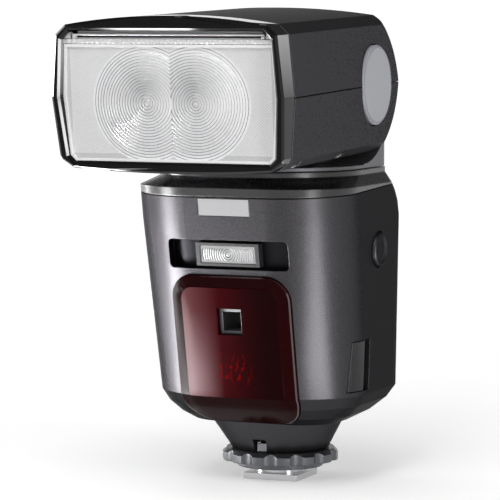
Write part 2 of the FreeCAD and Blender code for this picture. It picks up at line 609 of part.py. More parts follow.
def housings():
    """Front and rear housing, screwed together from the back."""
    outside, inside = OUTER, INNER
    for tool, wall, depth in pockets():
        outside = outside.cut(tool.cut(envelope(depth)))
        inside = inside.cut(wall.cut(envelope(depth + WALL, RING_UNDER)))
    inside = inside.cut(box(-60, 60, DECK_FRONT, SPLIT_Y, DECK_Z, DECK_TOP))
    for x, z in HOUSING_SCREWS:
        back, front = BREAK_BACK, SPLIT_Y - BOSS_LENGTH
        inside = inside.cut(rod_y(BOSS_RADIUS, front, back, x, z))
        if abs(x) > BOSS_WEB_FROM:
            low_x, high_x = sorted((x, math.copysign(TOP_HALF, x)))
            inside = inside.cut(box(low_x, high_x, front, back, z - BOSS_RADIUS, z + BOSS_RADIUS))
    shell = outside.cut(inside).cut(above_parting())

    low, high = SUB_Z - SUB_LENS_HEIGHT / 2, SUB_Z + SUB_LENS_HEIGHT / 2
    shell = shell.cut(box(-SUB_LENS_HALF, SUB_LENS_HALF, -60, -30, low, high))
    rim = AF_BORDER
    shell = shell.cut(rounded(AF_HALF - rim, BODY_BREAK + 1, AF_TOP - rim, AF_CORNER - 2, -60, -28))
    reach = BARREL_PIN_LENGTH + GAP
    shell = shell.cut(flap_rod(PORT_BOTTOM - reach, PORT_TOP + reach, BARREL_PIN + RUN))
    shell = shell.cut(box(20, 60, USB_Y - USB_HALF, USB_Y + USB_HALF, USB_BOTTOM, USB_TOP))
    shell = shell.cut(rod_x(SOCKET_CAP_STEM + GAP, 20, 60, SOCKET_Y, SOCKET_Z))
    shell = shell.cut(box(-60, -20, DOOR_FRONT, DOOR_BACK + GAP, DOOR_BOTTOM, DOOR_TOP))
    x, y = door_axis()
    x += SIDE_LEAN * reach
    shell = shell.cut(hinge_rod(x, y, DOOR_BOTTOM - reach, DOOR_TOP + reach, -1, BARREL_PIN + RUN))
    shell = shell.cut(rod_z(SWIVEL_BORE_RADIUS, BODY_BOTTOM - 1, FLOOR + 1))

    screws = []
    for x, y in NECK_SCREWS:
        shell = shell.cut(rod_z(SCREW_RADIUS + RUN, BODY_BOTTOM - 1, FLOOR + 1, x, y))
        shank = rod_z(SCREW_RADIUS, BODY_BOTTOM - NECK_SCREW_BITE, FLOOR, x, y)
        screws.append(fused(shank, rod_z(SCREW_HEAD, FLOOR, FLOOR + SCREW_HEAD_THICK, x, y)))
    for x, z in HOUSING_SCREWS:
        back = BREAK_BACK + 5
        shell = shell.cut(rod_y(SCREW_RADIUS + RUN, SPLIT_Y - BOSS_LENGTH - 1, back, x, z))
        shell = shell.cut(rod_y(SCREW_HEAD + PLAY, SCREW_SEAT, back, x, z))
        shank = rod_y(SCREW_RADIUS, SPLIT_Y - BOSS_LENGTH + 1, SCREW_SEAT, x, z)
        screws.append(fused(shank, rod_y(SCREW_HEAD, SCREW_SEAT, SCREW_SEAT + SCREW_HEAD_THICK, x, z)))
    save("body_screws", *screws)

    front = shell.common(box(-60, 60, -80, SPLIT_Y, 0, 120))
    rear = shell.common(box(-60, 60, SPLIT_Y, 60, 0, 120))
    low, high = GLASS_BOTTOM + 1, GLASS_TOP - 1
    rear = rear.cut(box(-GLASS_HALF + 1, GLASS_HALF - 1, SPLIT_Y - 1, 60, low, high))
    for side in (-1, 1):
        rear = rear.cut(rod_y(KEY_STEM + GAP, SPLIT_Y - 1, 60, side * KEY_X, KEY_Z))
    save("front_housing", front)
    save("rear_housing", rear)


def top_cap():
    """Cap over both housings, ending in the flat ring that the head turns on."""
    cap = OUTER.cut(INNER).common(above_parting(GAP))
    cap = cap.cut(rod_z(SWIVEL_TUBE_RADIUS + RUN, RING_UNDER - 1, RING_TOP + 1, 0, SWIVEL_Y))
    save("top_cap", cap.removeSplitter())


def name_plate():
    low, high = LABEL_Z - LABEL_HEIGHT / 2, LABEL_Z + LABEL_HEIGHT / 2
    save("name_plate", skin(LABEL_THICK).common(box(-LABEL_HALF, LABEL_HALF, -60, -30, low, high)))


def af_window():
    """Dark red pane over the focus lamps, with the sensor's square window in it."""
    pane = skin(AF_PANE, AF_PROUD).common(af_outline(0, -60, AF_REACH))
    hole = SENSOR_HALF + RUN
    pane = pane.cut(box(-hole, hole, -60, -20, SENSOR_Z - hole, SENSOR_Z + hole))
    save("af_window", pane)

    outer, inner = SENSOR_HALF, SENSOR_HALF - SENSOR_FRAME
    tube = box(-outer, outer, -60, FRONT_BOARD_Y, SENSOR_Z - outer, SENSOR_Z + outer).common(OUTER)
    tube = tube.cut(box(-inner, inner, -60, FRONT_BOARD_Y - SENSOR_THICK, SENSOR_Z - inner, SENSOR_Z + inner))
    tube = tube.cut(box(-inner, inner, -60, FRONT_BOARD_Y, SENSOR_Z - inner, SENSOR_Z + inner))
    eye = box(-inner + RUN, inner - RUN, FRONT_BOARD_Y - SENSOR_THICK, FRONT_BOARD_Y,
              SENSOR_Z - inner + RUN, SENSOR_Z + inner - RUN)
    save("sensor_frame", tube)
    save("photo_sensor", eye)

    lamps = []
    for side in (-1, 1):
        x = side * LAMP_X
        stem = rod_y(LAMP_RADIUS, LAMP_FRONT, FRONT_BOARD_Y, x, LAMP_Z)
        ball = Part.makeSphere(LAMP_RADIUS, V(x, LAMP_FRONT, LAMP_Z))
        lamps.append(fused(stem, ball))
    save("focus_lamps", *lamps)
    board_low, board_high = DECK_TOP + 1, AF_TOP - AF_BORDER
    board_half = AF_HALF - AF_BORDER
    board_back = FRONT_BOARD_Y + BOARD_THICK
    save("front_board", box(-board_half, board_half, FRONT_BOARD_Y, board_back, board_low, board_high))


def sub_flash():
    """Small second flash set in a slot of the front: frame, lens, trough and tube."""
    ring = box(-FRAME_HALF, FRAME_HALF, -60, -30, SUB_Z - FRAME_HEIGHT / 2, SUB_Z + FRAME_HEIGHT / 2)
    low, high = SUB_Z - SUB_LENS_HEIGHT / 2, SUB_Z + SUB_LENS_HEIGHT / 2
    ring = ring.cut(box(-SUB_LENS_HALF, SUB_LENS_HALF, -60, -30, low, high))
    save("sub_flash_frame", skin(SUB_DEPTH).cut(skin(SUB_FRAME_SET)).common(ring))
    core = box(-SUB_LENS_HALF + RUN, SUB_LENS_HALF - RUN, -60, -30, low + RUN, high - RUN)
    save("sub_flash_lens", skin(SUB_LENS_SET + SUB_LENS_THICK).cut(skin(SUB_LENS_SET)).common(core))
    wall = REFLECTOR_WALL
    pad_back = BREAK_FRONT - FRONT_LEAN * (low - wall - BODY_BREAK) + SUB_DEPTH + WALL + PLAY
    back = pad_back + TROUGH_DEPTH
    trough = box(-SUB_LENS_HALF - wall, SUB_LENS_HALF + wall, pad_back, back, low - wall, high + wall)
    trough = trough.cut(box(-SUB_LENS_HALF, SUB_LENS_HALF, pad_back, back - wall, low, high))
    tube_y = (pad_back + back) / 2
    tube_half = SUB_LENS_HALF + wall
    trough = trough.cut(rod_x(SUB_TUBE_RADIUS + RUN, -tube_half - 1, tube_half + 1, tube_y, SUB_Z))
    save("sub_flash_reflector", trough)
    save("sub_flash_tube", rod_x(SUB_TUBE_RADIUS, -tube_half - 1, tube_half + 1, tube_y, SUB_Z))


def side_fittings():
    """Port flap with its socket, and the round plug over the power socket."""
    low, high = PORT_BOTTOM + GAP, PORT_TOP - GAP
    leaf = skin(PORT_THICK).common(box(20, 60, PORT_FRONT + PORT_THICK, PORT_FLAP_BACK, low, high))
    barrel = flap_rod(low, high, PORT_THICK / 2)
    pin = flap_rod(PORT_BOTTOM - BARREL_PIN_LENGTH, PORT_TOP + BARREL_PIN_LENGTH, BARREL_PIN)
    save("port_flap", fused(leaf, barrel, pin))
    face = corner_x(USB_Y - USB_HALF, USB_BOTTOM, PORT_DEPTH) - PLAY
    usb_half = USB_HALF - RUN
    socket = box(face - USB_DEEP, face, USB_Y - usb_half, USB_Y + usb_half, USB_BOTTOM + RUN, USB_TOP - RUN)
    rim = USB_RIM
    socket = socket.cut(box(face - USB_DEEP + rim, face + 1, USB_Y - USB_HALF + rim, USB_Y + USB_HALF - rim,
                            USB_BOTTOM + rim, USB_TOP - rim))
    save("data_socket", socket)

    half = side_half(SOCKET_Z)
    back = side_half(SOCKET_Z + SOCKET_CAP_RADIUS) - SOCKET_CAP_THICK + RUN
    disc = rod_x(SOCKET_CAP_RADIUS, back, half + SOCKET_CAP_PROUD, SOCKET_Y, SOCKET_Z)
    stem = rod_x(SOCKET_CAP_STEM, half - SOCKET_DEPTH + 2, half, SOCKET_Y, SOCKET_Z)
    save("socket_plug", fused(disc, stem))
    seat = half - SOCKET_CAP_THICK - WALL - PLAY
    body = rod_x(SOCKET_CAP_RADIUS, half - SOCKET_DEPTH, seat - GAP, SOCKET_Y, SOCKET_Z)
    body = body.cut(rod_x(SOCKET_CAP_STEM + RUN, half - SOCKET_DEPTH + 1, half, SOCKET_Y, SOCKET_Z))
    save("power_socket", body)


def battery():
    """Door on the flash's left side, cradle on the shelf, cells and their contact plates."""
    x, y = door_axis()
    low, high = DOOR_BOTTOM + GAP, DOOR_TOP - GAP
    leaf = skin(DOOR_THICK).common(box(-60, -20, DOOR_FRONT + GAP, y, low, high))
    barrel = hinge_rod(x - SIDE_LEAN * GAP, y, low, high, -1, DOOR_THICK / 2 - PLAY)
    reach = BARREL_PIN_LENGTH
    pin = hinge_rod(x + SIDE_LEAN * reach, y, DOOR_BOTTOM - reach, DOOR_TOP + reach, -1, BARREL_PIN)
    save("battery_door", fused(leaf, barrel, pin))

    cradle = box(CRADLE_X, CRADLE_END, CRADLE_FRONT, CRADLE_BACK, DECK_TOP, CRADLE_TOP)
    wall = CRADLE_WALL
    cradle = cradle.cut(box(CRADLE_X - 1, CRADLE_END - wall, CRADLE_FRONT + wall, CRADLE_BACK - wall,
                            DECK_TOP + wall, CRADLE_TOP - wall))
    save("battery_cradle", cradle)
    cells = []
    plates = []
    for row in range(2):
        z = CELL_LOW + row * CELL_PITCH
        for column in range(2):
            cy = CELL_BACK - column * CELL_PITCH
            can = rod_x(CELL_RADIUS, CELL_START, CELL_START + CELL_LENGTH - CELL_NUB, cy, z)
            nub = rod_x(CELL_NUB_RADIUS, CELL_START, CELL_START + CELL_LENGTH, cy, z)
            cells.append(fused(can, nub))
        middle = CELL_BACK - CELL_PITCH / 2
        reach = CELL_PITCH / 2 + CELL_NUB_RADIUS
        end = CRADLE_END - wall
        plates.append(box(end - CONTACT_SPRING + PLAY, end - PLAY, middle - reach, middle + reach,
                          z - CELL_NUB_RADIUS, z + CELL_NUB_RADIUS))
    save("battery_cells", *cells)
    save("battery_contacts", *plates)


def electronics():
    """Storage capacitor over the cradle, and the main board behind it."""
    z = CRADLE_TOP + CAPACITOR_RADIUS + PLAY
    half = CAPACITOR_LENGTH / 2
    can = rod_x(CAPACITOR_RADIUS, CAPACITOR_X - half, CAPACITOR_X + half, CAPACITOR_Y, z)
    save("flash_capacitor", can)
    top = HOUSING_SCREWS[2][1] - BOSS_RADIUS - PLAY
    side = HOUSING_SCREWS[0][0] + BOSS_RADIUS + PLAY
    board_back = SPLIT_Y - PLAY
    lower = box(side, -side, board_back - BOARD_THICK, board_back, DECK_TOP + PLAY, top)
    save("main_board", lower)


def control_panel():
    """Raised panel on the back with the touch display and two keys."""
    far = BREAK_BACK + PANEL_BULGE
    panel = rounded(REAR_PANEL_HALF, REAR_PANEL_BOTTOM, REAR_PANEL_TOP, REAR_PANEL_CORNER, SPLIT_Y, far)
    rim = [e for e in panel.Edges if e.BoundBox.YMin > far - 1e-3]
    panel = panel.makeChamfer(PANEL_BEVEL, rim).cut(OUTER)
    low, high = GLASS_BOTTOM, GLASS_TOP
    opening = GLASS_HALF + RUN
    panel = panel.cut(box(-opening, opening, far - GLASS_THICK, far + 1, low - RUN, high + RUN))
    panel = panel.cut(box(-GLASS_HALF + 1, GLASS_HALF - 1, SPLIT_Y, far, low + 1, high - 1))
    for name, x in (("power_key", -KEY_X), ("test_key", KEY_X)):
        pocket = rod_y(KEY_RADIUS + GAP, far - KEY_POCKET, far + 1, x, KEY_Z)
        panel = panel.cut(pocket).cut(rod_y(KEY_STEM + GAP, SPLIT_Y, far, x, KEY_Z))
        head = rod_y(KEY_RADIUS, far - KEY_POCKET + KEY_TRAVEL + PLAY, far + KEY_PROUD, x, KEY_Z)
        stem = rod_y(KEY_STEM, SPLIT_Y + KEY_TRAVEL + PLAY, far, x, KEY_Z)
        save(name, fused(head, stem))
    save("control_panel", panel)
    save("display_glass", box(-GLASS_HALF, GLASS_HALF, far - GLASS_THICK, far, low, high))
    lcd = box(-GLASS_HALF + 1 + PLAY, GLASS_HALF - 1 - PLAY, SPLIT_Y + PLAY, far - GLASS_THICK - PLAY,
              low + 1 + PLAY, high - 1 - PLAY)
    save("display_module", lcd)


# ---------------------------------------------------------------- swivel
def pie(radius, x_half, start, stop):
    """Sector about the tilt axle; angles in degrees from straight down, positive to the back."""
    def rim(angle):
        turn = math.radians(angle)
        return PIVOT + V(-x_half, radius * math.sin(turn), -radius * math.cos(turn))

    centre = PIVOT + V(-x_half, 0, 0)
    arc = Part.Arc(rim(start), rim((start + stop) / 2), rim(stop)).toShape()
    near, away = Part.LineSegment(centre, rim(start)), Part.LineSegment(rim(stop), centre)
    edges = [near.toShape(), arc, away.toShape()]
    return Part.Face(Part.Wire(edges)).extrude(V(2 * x_half, 0, 0))


def swivel():
    """Turning block with the saddle for the head and the drum that the head tilts on."""
    edge = GAP
    plan = section(BLOCK_BOTTOM, RING_HALF - edge, RING_FRONT + edge, RING_BACK - edge,
                   RING_FRONT_CORNER - edge, RING_BACK_CORNER - edge)
    block = Part.Face(plan).extrude(V(0, 0, SADDLE_TOP - BLOCK_BOTTOM))
    block = block.cut(rod_x(SADDLE_RADIUS, -60, 60, SWIVEL_Y, TILT_Z))
    block = block.cut(box(-60, 60, -60, SWIVEL_Y, FRONT_SHELF, 140))
    drum = rod_x(DRUM_RADIUS, -DRUM_HALF, DRUM_HALF, SWIVEL_Y, TILT_Z)
    inside = DRUM_HALF - DRUM_WALL
    foot_block = pie(SADDLE_RADIUS + 1, DRUM_HALF, -WEB_ANGLE, WEB_ANGLE)
    clip_top = RING_UNDER - PLAY
    clip_low = clip_top - SWIVEL_CLIP_THICK
    tube = rod_z(SWIVEL_TUBE_RADIUS, clip_low - 1, BLOCK_BOTTOM + 1, 0, SWIVEL_Y)
    block = fused(block, drum, foot_block, tube)
    block = block.cut(rod_x(DRUM_RADIUS - DRUM_WALL, -inside, inside, SWIVEL_Y, TILT_Z))
    block = block.cut(rod_z(SWIVEL_BORE_RADIUS, clip_low - 2, TILT_Z - DRUM_RADIUS / 2, 0, SWIVEL_Y))
    block = block.cut(rod_x(AXLE_RADIUS + RUN, -DRUM_HALF - 1, DRUM_HALF + 1, SWIVEL_Y, TILT_Z))
    save("swivel_block", block)
    clip = rod_z(SWIVEL_CLIP_RADIUS, clip_low, clip_top, 0, SWIVEL_Y)
    save("swivel_clip", clip.cut(rod_z(SWIVEL_TUBE_RADIUS + RUN, clip_low - 1, clip_top + 1, 0, SWIVEL_Y)))


# ---------------------------------------------------------------- head
def head_wire(y, ratio, inset=0.0):
    """Cross-section of the head at y: arched top and bottom, sides creased at the middle."""
    def at(x, z):
        return V(x, y, TILT_Z + z)

    def corner(point, sign):
        x, z = point
        return (x - inset) * ratio, sign * (z - inset)

    tx, tz = corner(HEAD_TOP_EDGE, 1)
    sx, sz = corner(HEAD_SHOULDER, 1)
    lx, lz = corner(HEAD_LOW_SHOULDER, -1)
    bx, bz = corner(HEAD_LOW_EDGE, -1)
    mid = (HEAD_HALF - inset) * ratio
    top = Part.Arc(at(-tx, tz), at(0, HEAD_APEX - inset), at(tx, tz)).toShape()
    bottom = Part.Arc(at(bx, bz), at(0, inset - HEAD_LOW_APEX), at(-bx, bz)).toShape()
    right = [(tx, tz), (sx, sz), (mid, 0), (lx, lz), (bx, bz)]
    left = [(-x, z) for x, z in reversed(right)]
    edges = [top]
    edges += [Part.LineSegment(at(*a), at(*b)).toShape() for a, b in zip(right, right[1:])]
    edges.append(bottom)
    edges += [Part.LineSegment(at(*a), at(*b)).toShape() for a, b in zip(left, left[1:])]
    return Part.Wire(edges)


def is_rear_corner(extent):
    """True for the upright edges where the head's sides meet its round back."""
    outward = min(abs(extent.XMin), abs(extent.XMax))
    return outward > HEAD_LOW_EDGE[0] and extent.YMin > SWIVEL_Y + 2 and extent.ZLength > 3


def head_volume(inset=0.0, front=HEAD_FRONT, rounded_back=False):
    """The head behind its bezel, every wall moved inwards by the inset."""
    rear = SWIVEL_Y + HEAD_APEX
    ratio = HEAD_REAR_HALF / HEAD_HALF
    slope = (1 - ratio) / (rear - HEAD_FRONT)
    start = 1 + slope * (HEAD_FRONT - front)
    block = Part.makeLoft([head_wire(front, start, inset), head_wire(rear, ratio, inset)], True, True)
    ahead = box(-60, 60, -120, SWIVEL_Y, TILT_Z - 40, TILT_Z + 40)
    turned = rod_x(HEAD_APEX - inset, -60, 60, SWIVEL_Y, TILT_Z)
    block = block.common(ahead.fuse(turned))
    if rounded_back:
        block = block.makeFillet(HEAD_REAR_CORNER, [e for e in block.Edges if is_rear_corner(e.BoundBox)])
    depth, side = POCKET_FLOOR - inset, POCKET_HALF + inset
    return block.cut(box(-side, side, POCKET_FRONT - inset, 60, TILT_Z - 40, TILT_Z - depth))


def head_shells():
    """Upper and lower shell, meeting at the middle of the sides."""
    shell = head_volume(rounded_back=True).cut(head_volume(HEAD_WALL, HEAD_FRONT - 1))
    slot = DRUM_HALF + GAP
    play_angle = 3.0
    level_down = TILT_DOWN + NOD
    level_up = TILT_UP - NOD
    start, stop = -WEB_ANGLE - level_down - play_angle, WEB_ANGLE + level_up + play_angle
    shell = shell.cut(pie(HEAD_APEX + 3, slot, start, stop))
    shell = shell.cut(rod_x(DRUM_RADIUS + GAP, -slot, slot, SWIVEL_Y, TILT_Z))
    shell = shell.cut(rod_x(BUTTON_RADIUS + GAP, -60, 60, SWIVEL_Y, TILT_Z))
    inside = head_volume(HEAD_WALL - 0.2)
    screws = []
    for side in (-1, 1):
        for y in HEAD_SCREWS:
            x = side * HEAD_SCREW_X
            boss = rod_z(HEAD_BOSS, TILT_Z - 30, TILT_Z + HEAD_SCREW_TOP, x, y).common(inside)
            shell = shell.fuse(boss)
            seat = TILT_Z - HEAD_SCREW_SEAT
            shell = shell.cut(rod_z(SCREW_RADIUS + RUN, seat, TILT_Z + HEAD_SCREW_TOP - 1, x, y))
            shell = shell.cut(rod_z(HEAD_SCREW_HEAD + PLAY, TILT_Z - 30, seat, x, y))
            shank = rod_z(SCREW_RADIUS, seat, TILT_Z + HEAD_SCREW_TOP - 2, x, y)
            screws.append(nod(fused(shank, rod_z(HEAD_SCREW_HEAD, seat - SCREW_HEAD_THICK, seat, x, y))))
    upper = shell.common(box(-60, 60, -120, 60, TILT_Z + SEAM / 2, TILT_Z + 40))
    lower = shell.common(box(-60, 60, -120, 60, TILT_Z - 40, TILT_Z - SEAM / 2))
    save("head_shell_upper", nod(upper.removeSplitter()))
    save("head_shell_lower", nod(lower.removeSplitter()))
    save("head_screws", *screws)


def front_wedge(shift):
    """All that lies behind the bezel's front, moved back by the shift."""
    y = BEZEL_FRONT + shift
    edge = V(0, y, TILT_Z)
    upper = box(-60, 60, y, y + 60, TILT_Z, TILT_Z + 60)
    upper.rotate(edge, V(1, 0, 0), RAKE_UP)
    lower = box(-60, 60, y, y + 60, TILT_Z - 60, TILT_Z)
    lower.rotate(edge, V(1, 0, 0), RAKE_LOW)
    middle = box(-60, 60, y + 5, y + 60, TILT_Z - 5, TILT_Z + 5)
    return upper.fuse(lower).fuse(middle)


def window_prism(inset, y0, y1):
    """The bezel's opening, made smaller by the inset."""
    points = [WINDOW_TOP_EDGE, WINDOW_SHOULDER, (WINDOW_HALF, 0.0)]
    points += [(x, -z) for x, z in (WINDOW_LOW_SHOULDER, WINDOW_LOW_EDGE)]
    right = []
    for x, z in points:
        pull = inset if z > 0 else -inset
        right.append((x - inset, z - pull if z else 0.0))
    ring = right + [(-x, z) for x, z in reversed(right)]
    corners = [V(x, y0, TILT_Z + z) for x, z in ring]
    return Part.Face(Part.makePolygon(corners + corners[:1])).extrude(V(0, y1 - y0, 0))


def bezel():
    """Glossy frame round the lens, with a ledge behind the lens."""
    near = BEZEL_FRONT - 10
    frame = Part.Face(head_wire(near, 1.0)).extrude(V(0, HEAD_FRONT - PLAY - near, 0)).common(front_wedge(0))
    frame = frame.cut(window_prism(0, near, HEAD_FRONT + 1))
    seat = lens_slab(LENS_THICK)
    ledge = window_prism(-RUN, near, HEAD_FRONT - PLAY).cut(window_prism(LEDGE, near, HEAD_FRONT + 1))
    ledge = ledge.common(seat)
    ledge = ledge.cut(box(-60, 60, near, 0, TILT_Z + LENS_TOP, TILT_Z + 40))
    ledge = ledge.common(box(-60, 60, near, HEAD_FRONT - PLAY, TILT_Z - 40, TILT_Z + 40))
    save("front_bezel", nod(frame.fuse(ledge).removeSplitter()))


def lens_slab(behind):
    """Half-space behind the lens's front face, or any plane parallel to it."""
    y = BEZEL_FRONT + LENS_SET_BACK + behind
    slab = box(-60, 60, y, y + 40, TILT_Z - 60, TILT_Z + 60)
    slab.rotate(V(0, y, TILT_Z), V(1, 0, 0), LENS_RAKE)
    return slab


def lens():
    plate = window_prism(PLAY, BEZEL_FRONT, HEAD_FRONT).common(lens_slab(0)).cut(lens_slab(LENS_THICK - RUN))
    plate = plate.cut(box(-60, 60, -120, 0, TILT_Z + LENS_TOP, TILT_Z + 40))
    save("fresnel_lens", nod(plate))


def panels():
    """Bounce card and wide-angle diffuser in their guide under the head's roof."""
    near = BEZEL_FRONT + PANEL_SET_BACK
    card_low = TILT_Z + CARD_Z
    wide_low = TILT_Z + DIFFUSER_Z
    end = near + PANEL_LENGTH
    save("bounce_card", nod(box(-PANEL_HALF, PANEL_HALF, near, end, card_low, card_low + CARD_THICK)))
    save("diffuser_panel", nod(box(-PANEL_HALF, PANEL_HALF, near, end, wide_low, wide_low + DIFFUSER_THICK)))
    side = PANEL_HALF + PLAY
    low, high = wide_low - PLAY - GUIDE_LEDGE, card_low - PLAY
    front, back = HEAD_FRONT, GUIDE_BACK
    outer = side + GUIDE_WALL
    guide = box(-outer, outer, front, back, low, high)
    slot_top = wide_low + DIFFUSER_THICK + PLAY
    guide = guide.cut(box(-side, side, front - 1, back + 1, wide_low - PLAY, slot_top))
    open_half = side - GUIDE_LIP
    guide = guide.cut(box(-open_half, open_half, front - 1, back + 1, low - 1, wide_low))
    save("panel_guide", nod(guide))


def zoom():
    """Flash tube and reflector on a carriage that a lead screw moves along two rods."""
    front, rear = REFLECTOR_FRONT, REFLECTOR_FRONT + REFLECTOR_DEPTH
    height, wall, half = REFLECTOR_HEIGHT, REFLECTOR_WALL, REFLECTOR_HALF

    def bowl(shrink):
        lip, depth = height - shrink, rear - shrink
        start = V(-half + shrink, front, TILT_Z + lip)
        end = V(-half + shrink, front, TILT_Z - lip)
        curve = Part.Arc(start, V(-half + shrink, depth, TILT_Z), end).toShape()
        outline = Part.Wire([curve, Part.LineSegment(end, start).toShape()])
        return Part.Face(outline).extrude(V(2 * (half - shrink), 0, 0))

    tube_y = rear - TUBE_BACK
    reflector = bowl(0).cut(bowl(wall))
    reflector = reflector.cut(rod_x(TUBE_RADIUS + RUN, -half - 1, half + 1, tube_y, TILT_Z))
    save("head_reflector", nod(reflector))
    save("flash_tube", nod(rod_x(TUBE_RADIUS, -half - 2, half + 2, tube_y, TILT_Z)))

    rod_z_at = TILT_Z + ROD_Z
    plate = box(-half, half, rear, rear + CARRIAGE_THICK, TILT_Z - height, TILT_Z + height)
    lug = CARRIAGE_LUG
    lug_back, lug_top = rear + CARRIAGE_THICK + 2, TILT_Z - height + 1
    for x in (-ROD_X, ROD_X, SCREW_X):
        plate = plate.fuse(box(x - lug, x + lug, rear - 2, lug_back, rod_z_at - lug, lug_top))
    for x in (-ROD_X, ROD_X):
        plate = plate.cut(rod_y(ROD_RADIUS + RUN, rear - 5, rear + 10, x, rod_z_at))
    plate = plate.cut(rod_y(LEAD_RADIUS + PLAY, rear - 5, rear + 10, SCREW_X, rod_z_at))
    save("zoom_carriage", nod(plate.cut(bowl(0)).removeSplitter()))

    sheet = FRAME_SHEET
    floor = TILT_Z - POCKET_INNER + PLAY
    frame = box(-half, half, FRAME_FRONT, FRAME_BACK, floor, floor + sheet)
    lip_top = rod_z_at + ROD_RADIUS + 1.0
    frame = frame.fuse(box(-half, half, FRAME_FRONT, FRAME_FRONT + sheet, floor, lip_top))
    frame = frame.fuse(box(-half, half, FRAME_BACK - sheet, FRAME_BACK, floor, TILT_Z + height))
    for x in (-ROD_X, ROD_X):
        frame = frame.cut(rod_y(ROD_RADIUS + RUN, FRAME_FRONT - 1, FRAME_BACK + 1, x, rod_z_at))
    frame = frame.cut(rod_y(LEAD_RADIUS + RUN, FRAME_FRONT - 1, FRAME_BACK + 1, SCREW_X, rod_z_at))
    save("zoom_frame", nod(frame))
    rods = [nod(rod_y(ROD_RADIUS, FRAME_FRONT, FRAME_BACK, x, rod_z_at)) for x in (-ROD_X, ROD_X)]
    save("guide_rods", *rods)
    save("lead_screw", nod(rod_y(LEAD_RADIUS, FRAME_FRONT, FRAME_BACK + PLAY, SCREW_X, rod_z_at)))
    motor_front = FRAME_BACK + GAP
    motor = rod_y(MOTOR_RADIUS, motor_front, motor_front + MOTOR_LENGTH, SCREW_X, rod_z_at + MOTOR_RISE)
    save("zoom_motor", nod(motor))
    coil = rod_y(MOTOR_RADIUS, FRAME_BACK, FRAME_BACK + MOTOR_LENGTH, -SCREW_X - 4, TILT_Z + COIL_Z)
    save("trigger_coil", nod(coil))


def tilt_hardware():
    """Axle, its two plates, the side bushes, the release button and the blank cap."""
    save("tilt_axle", nod(rod_x(AXLE_RADIUS, -AXLE_HALF, AXLE_HALF, SWIVEL_Y, TILT_Z)))
    plates = []
    bushes = []
    for side in (-1, 1):
        x0 = side * (DRUM_HALF + GAP + PLATE_GAP)
        x1 = x0 + side * PLATE_THICK
        disc = rod_x(POCKET_INNER - PLAY, min(x0, x1), max(x0, x1), SWIVEL_Y, TILT_Z)
        plates.append(nod(disc.cut(rod_x(AXLE_RADIUS + RUN, -40, 40, SWIVEL_Y, TILT_Z))))
        x0, x1 = side * BUSH_X, side * (BUSH_X + BUSH_THICK)
        disc = rod_x(BUSH_RADIUS, min(x0, x1), max(x0, x1), SWIVEL_Y, TILT_Z)
        bushes.append(nod(disc.cut(rod_x(BUTTON_STEM + RUN, -40, 40, SWIVEL_Y, TILT_Z))))
    save("tilt_plates", *plates)
    save("pivot_bushes", *bushes)

    def button(side):
        x0, x1 = BUTTON_BACK, BUTTON_BACK + BUTTON_THICK
        face = rod_x(BUTTON_RADIUS, min(side * x0, side * x1), max(side * x0, side * x1), SWIVEL_Y, TILT_Z)
        outer = [e for e in face.Edges if abs(abs(e.BoundBox.XMin) - x1) < 1e-3 and e.BoundBox.XLength < 1e-3]
        face = face.makeChamfer(BUTTON_BEVEL, outer)
        s0, s1 = side * (AXLE_HALF + BUTTON_TRAVEL + GAP), side * x0
        stem = rod_x(BUTTON_STEM, min(s0, s1), max(s0, s1), SWIVEL_Y, TILT_Z)
        return nod(fused(face, stem))

    save("tilt_release_button", button(1))
    save("pivot_cap", button(-1))


foot()
clamp()
neck()
housings()
top_cap()
name_plate()
af_window()
sub_flash()
side_fittings()
battery()
electronics()
control_panel()
swivel()
head_shells()
bezel()
lens()
panels()
zoom()
tilt_hardware()
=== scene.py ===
import math

import bmesh
import bpy
from mathutils import Matrix, Vector
from mathutils.bvhtree import BVHTree


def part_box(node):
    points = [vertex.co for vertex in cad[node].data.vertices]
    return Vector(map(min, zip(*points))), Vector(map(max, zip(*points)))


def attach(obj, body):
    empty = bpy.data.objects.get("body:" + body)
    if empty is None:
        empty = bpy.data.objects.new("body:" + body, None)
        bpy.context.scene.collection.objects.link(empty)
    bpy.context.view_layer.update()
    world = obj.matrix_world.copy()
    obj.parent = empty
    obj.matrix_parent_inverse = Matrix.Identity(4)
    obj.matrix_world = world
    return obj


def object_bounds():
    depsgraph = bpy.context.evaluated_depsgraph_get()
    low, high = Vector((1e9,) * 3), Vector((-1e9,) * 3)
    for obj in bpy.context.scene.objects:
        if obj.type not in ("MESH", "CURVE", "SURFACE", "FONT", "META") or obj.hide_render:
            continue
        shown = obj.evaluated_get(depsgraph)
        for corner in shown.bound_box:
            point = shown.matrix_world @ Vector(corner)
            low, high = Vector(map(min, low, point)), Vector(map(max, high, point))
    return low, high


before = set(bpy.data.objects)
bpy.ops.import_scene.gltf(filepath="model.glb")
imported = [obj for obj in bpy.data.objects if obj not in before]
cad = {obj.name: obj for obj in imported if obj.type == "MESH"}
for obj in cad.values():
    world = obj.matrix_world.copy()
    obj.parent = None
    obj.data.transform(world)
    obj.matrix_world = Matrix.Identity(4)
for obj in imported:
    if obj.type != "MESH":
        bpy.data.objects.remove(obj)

cad_low, cad_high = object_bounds()
MM = 0.001            # a millimetre in the scene's metres


# ---------------------------------------------------------------- shoe foot
# Square foot of plated brass that slides into a camera's shoe, with a black moulded insert that
# insulates its five gilt contacts. Two small screws pull the foot up against the sleeve of the
# clamp plate, which presses down on the shoe's rails.

COAT_ROUGH = 0.04
NOISE_LOW, NOISE_HIGH = 0.3, 0.7    # the noise seldom leaves this range
GLOSS_SPREAD = 0.12   # share by which the roughness follows the grain


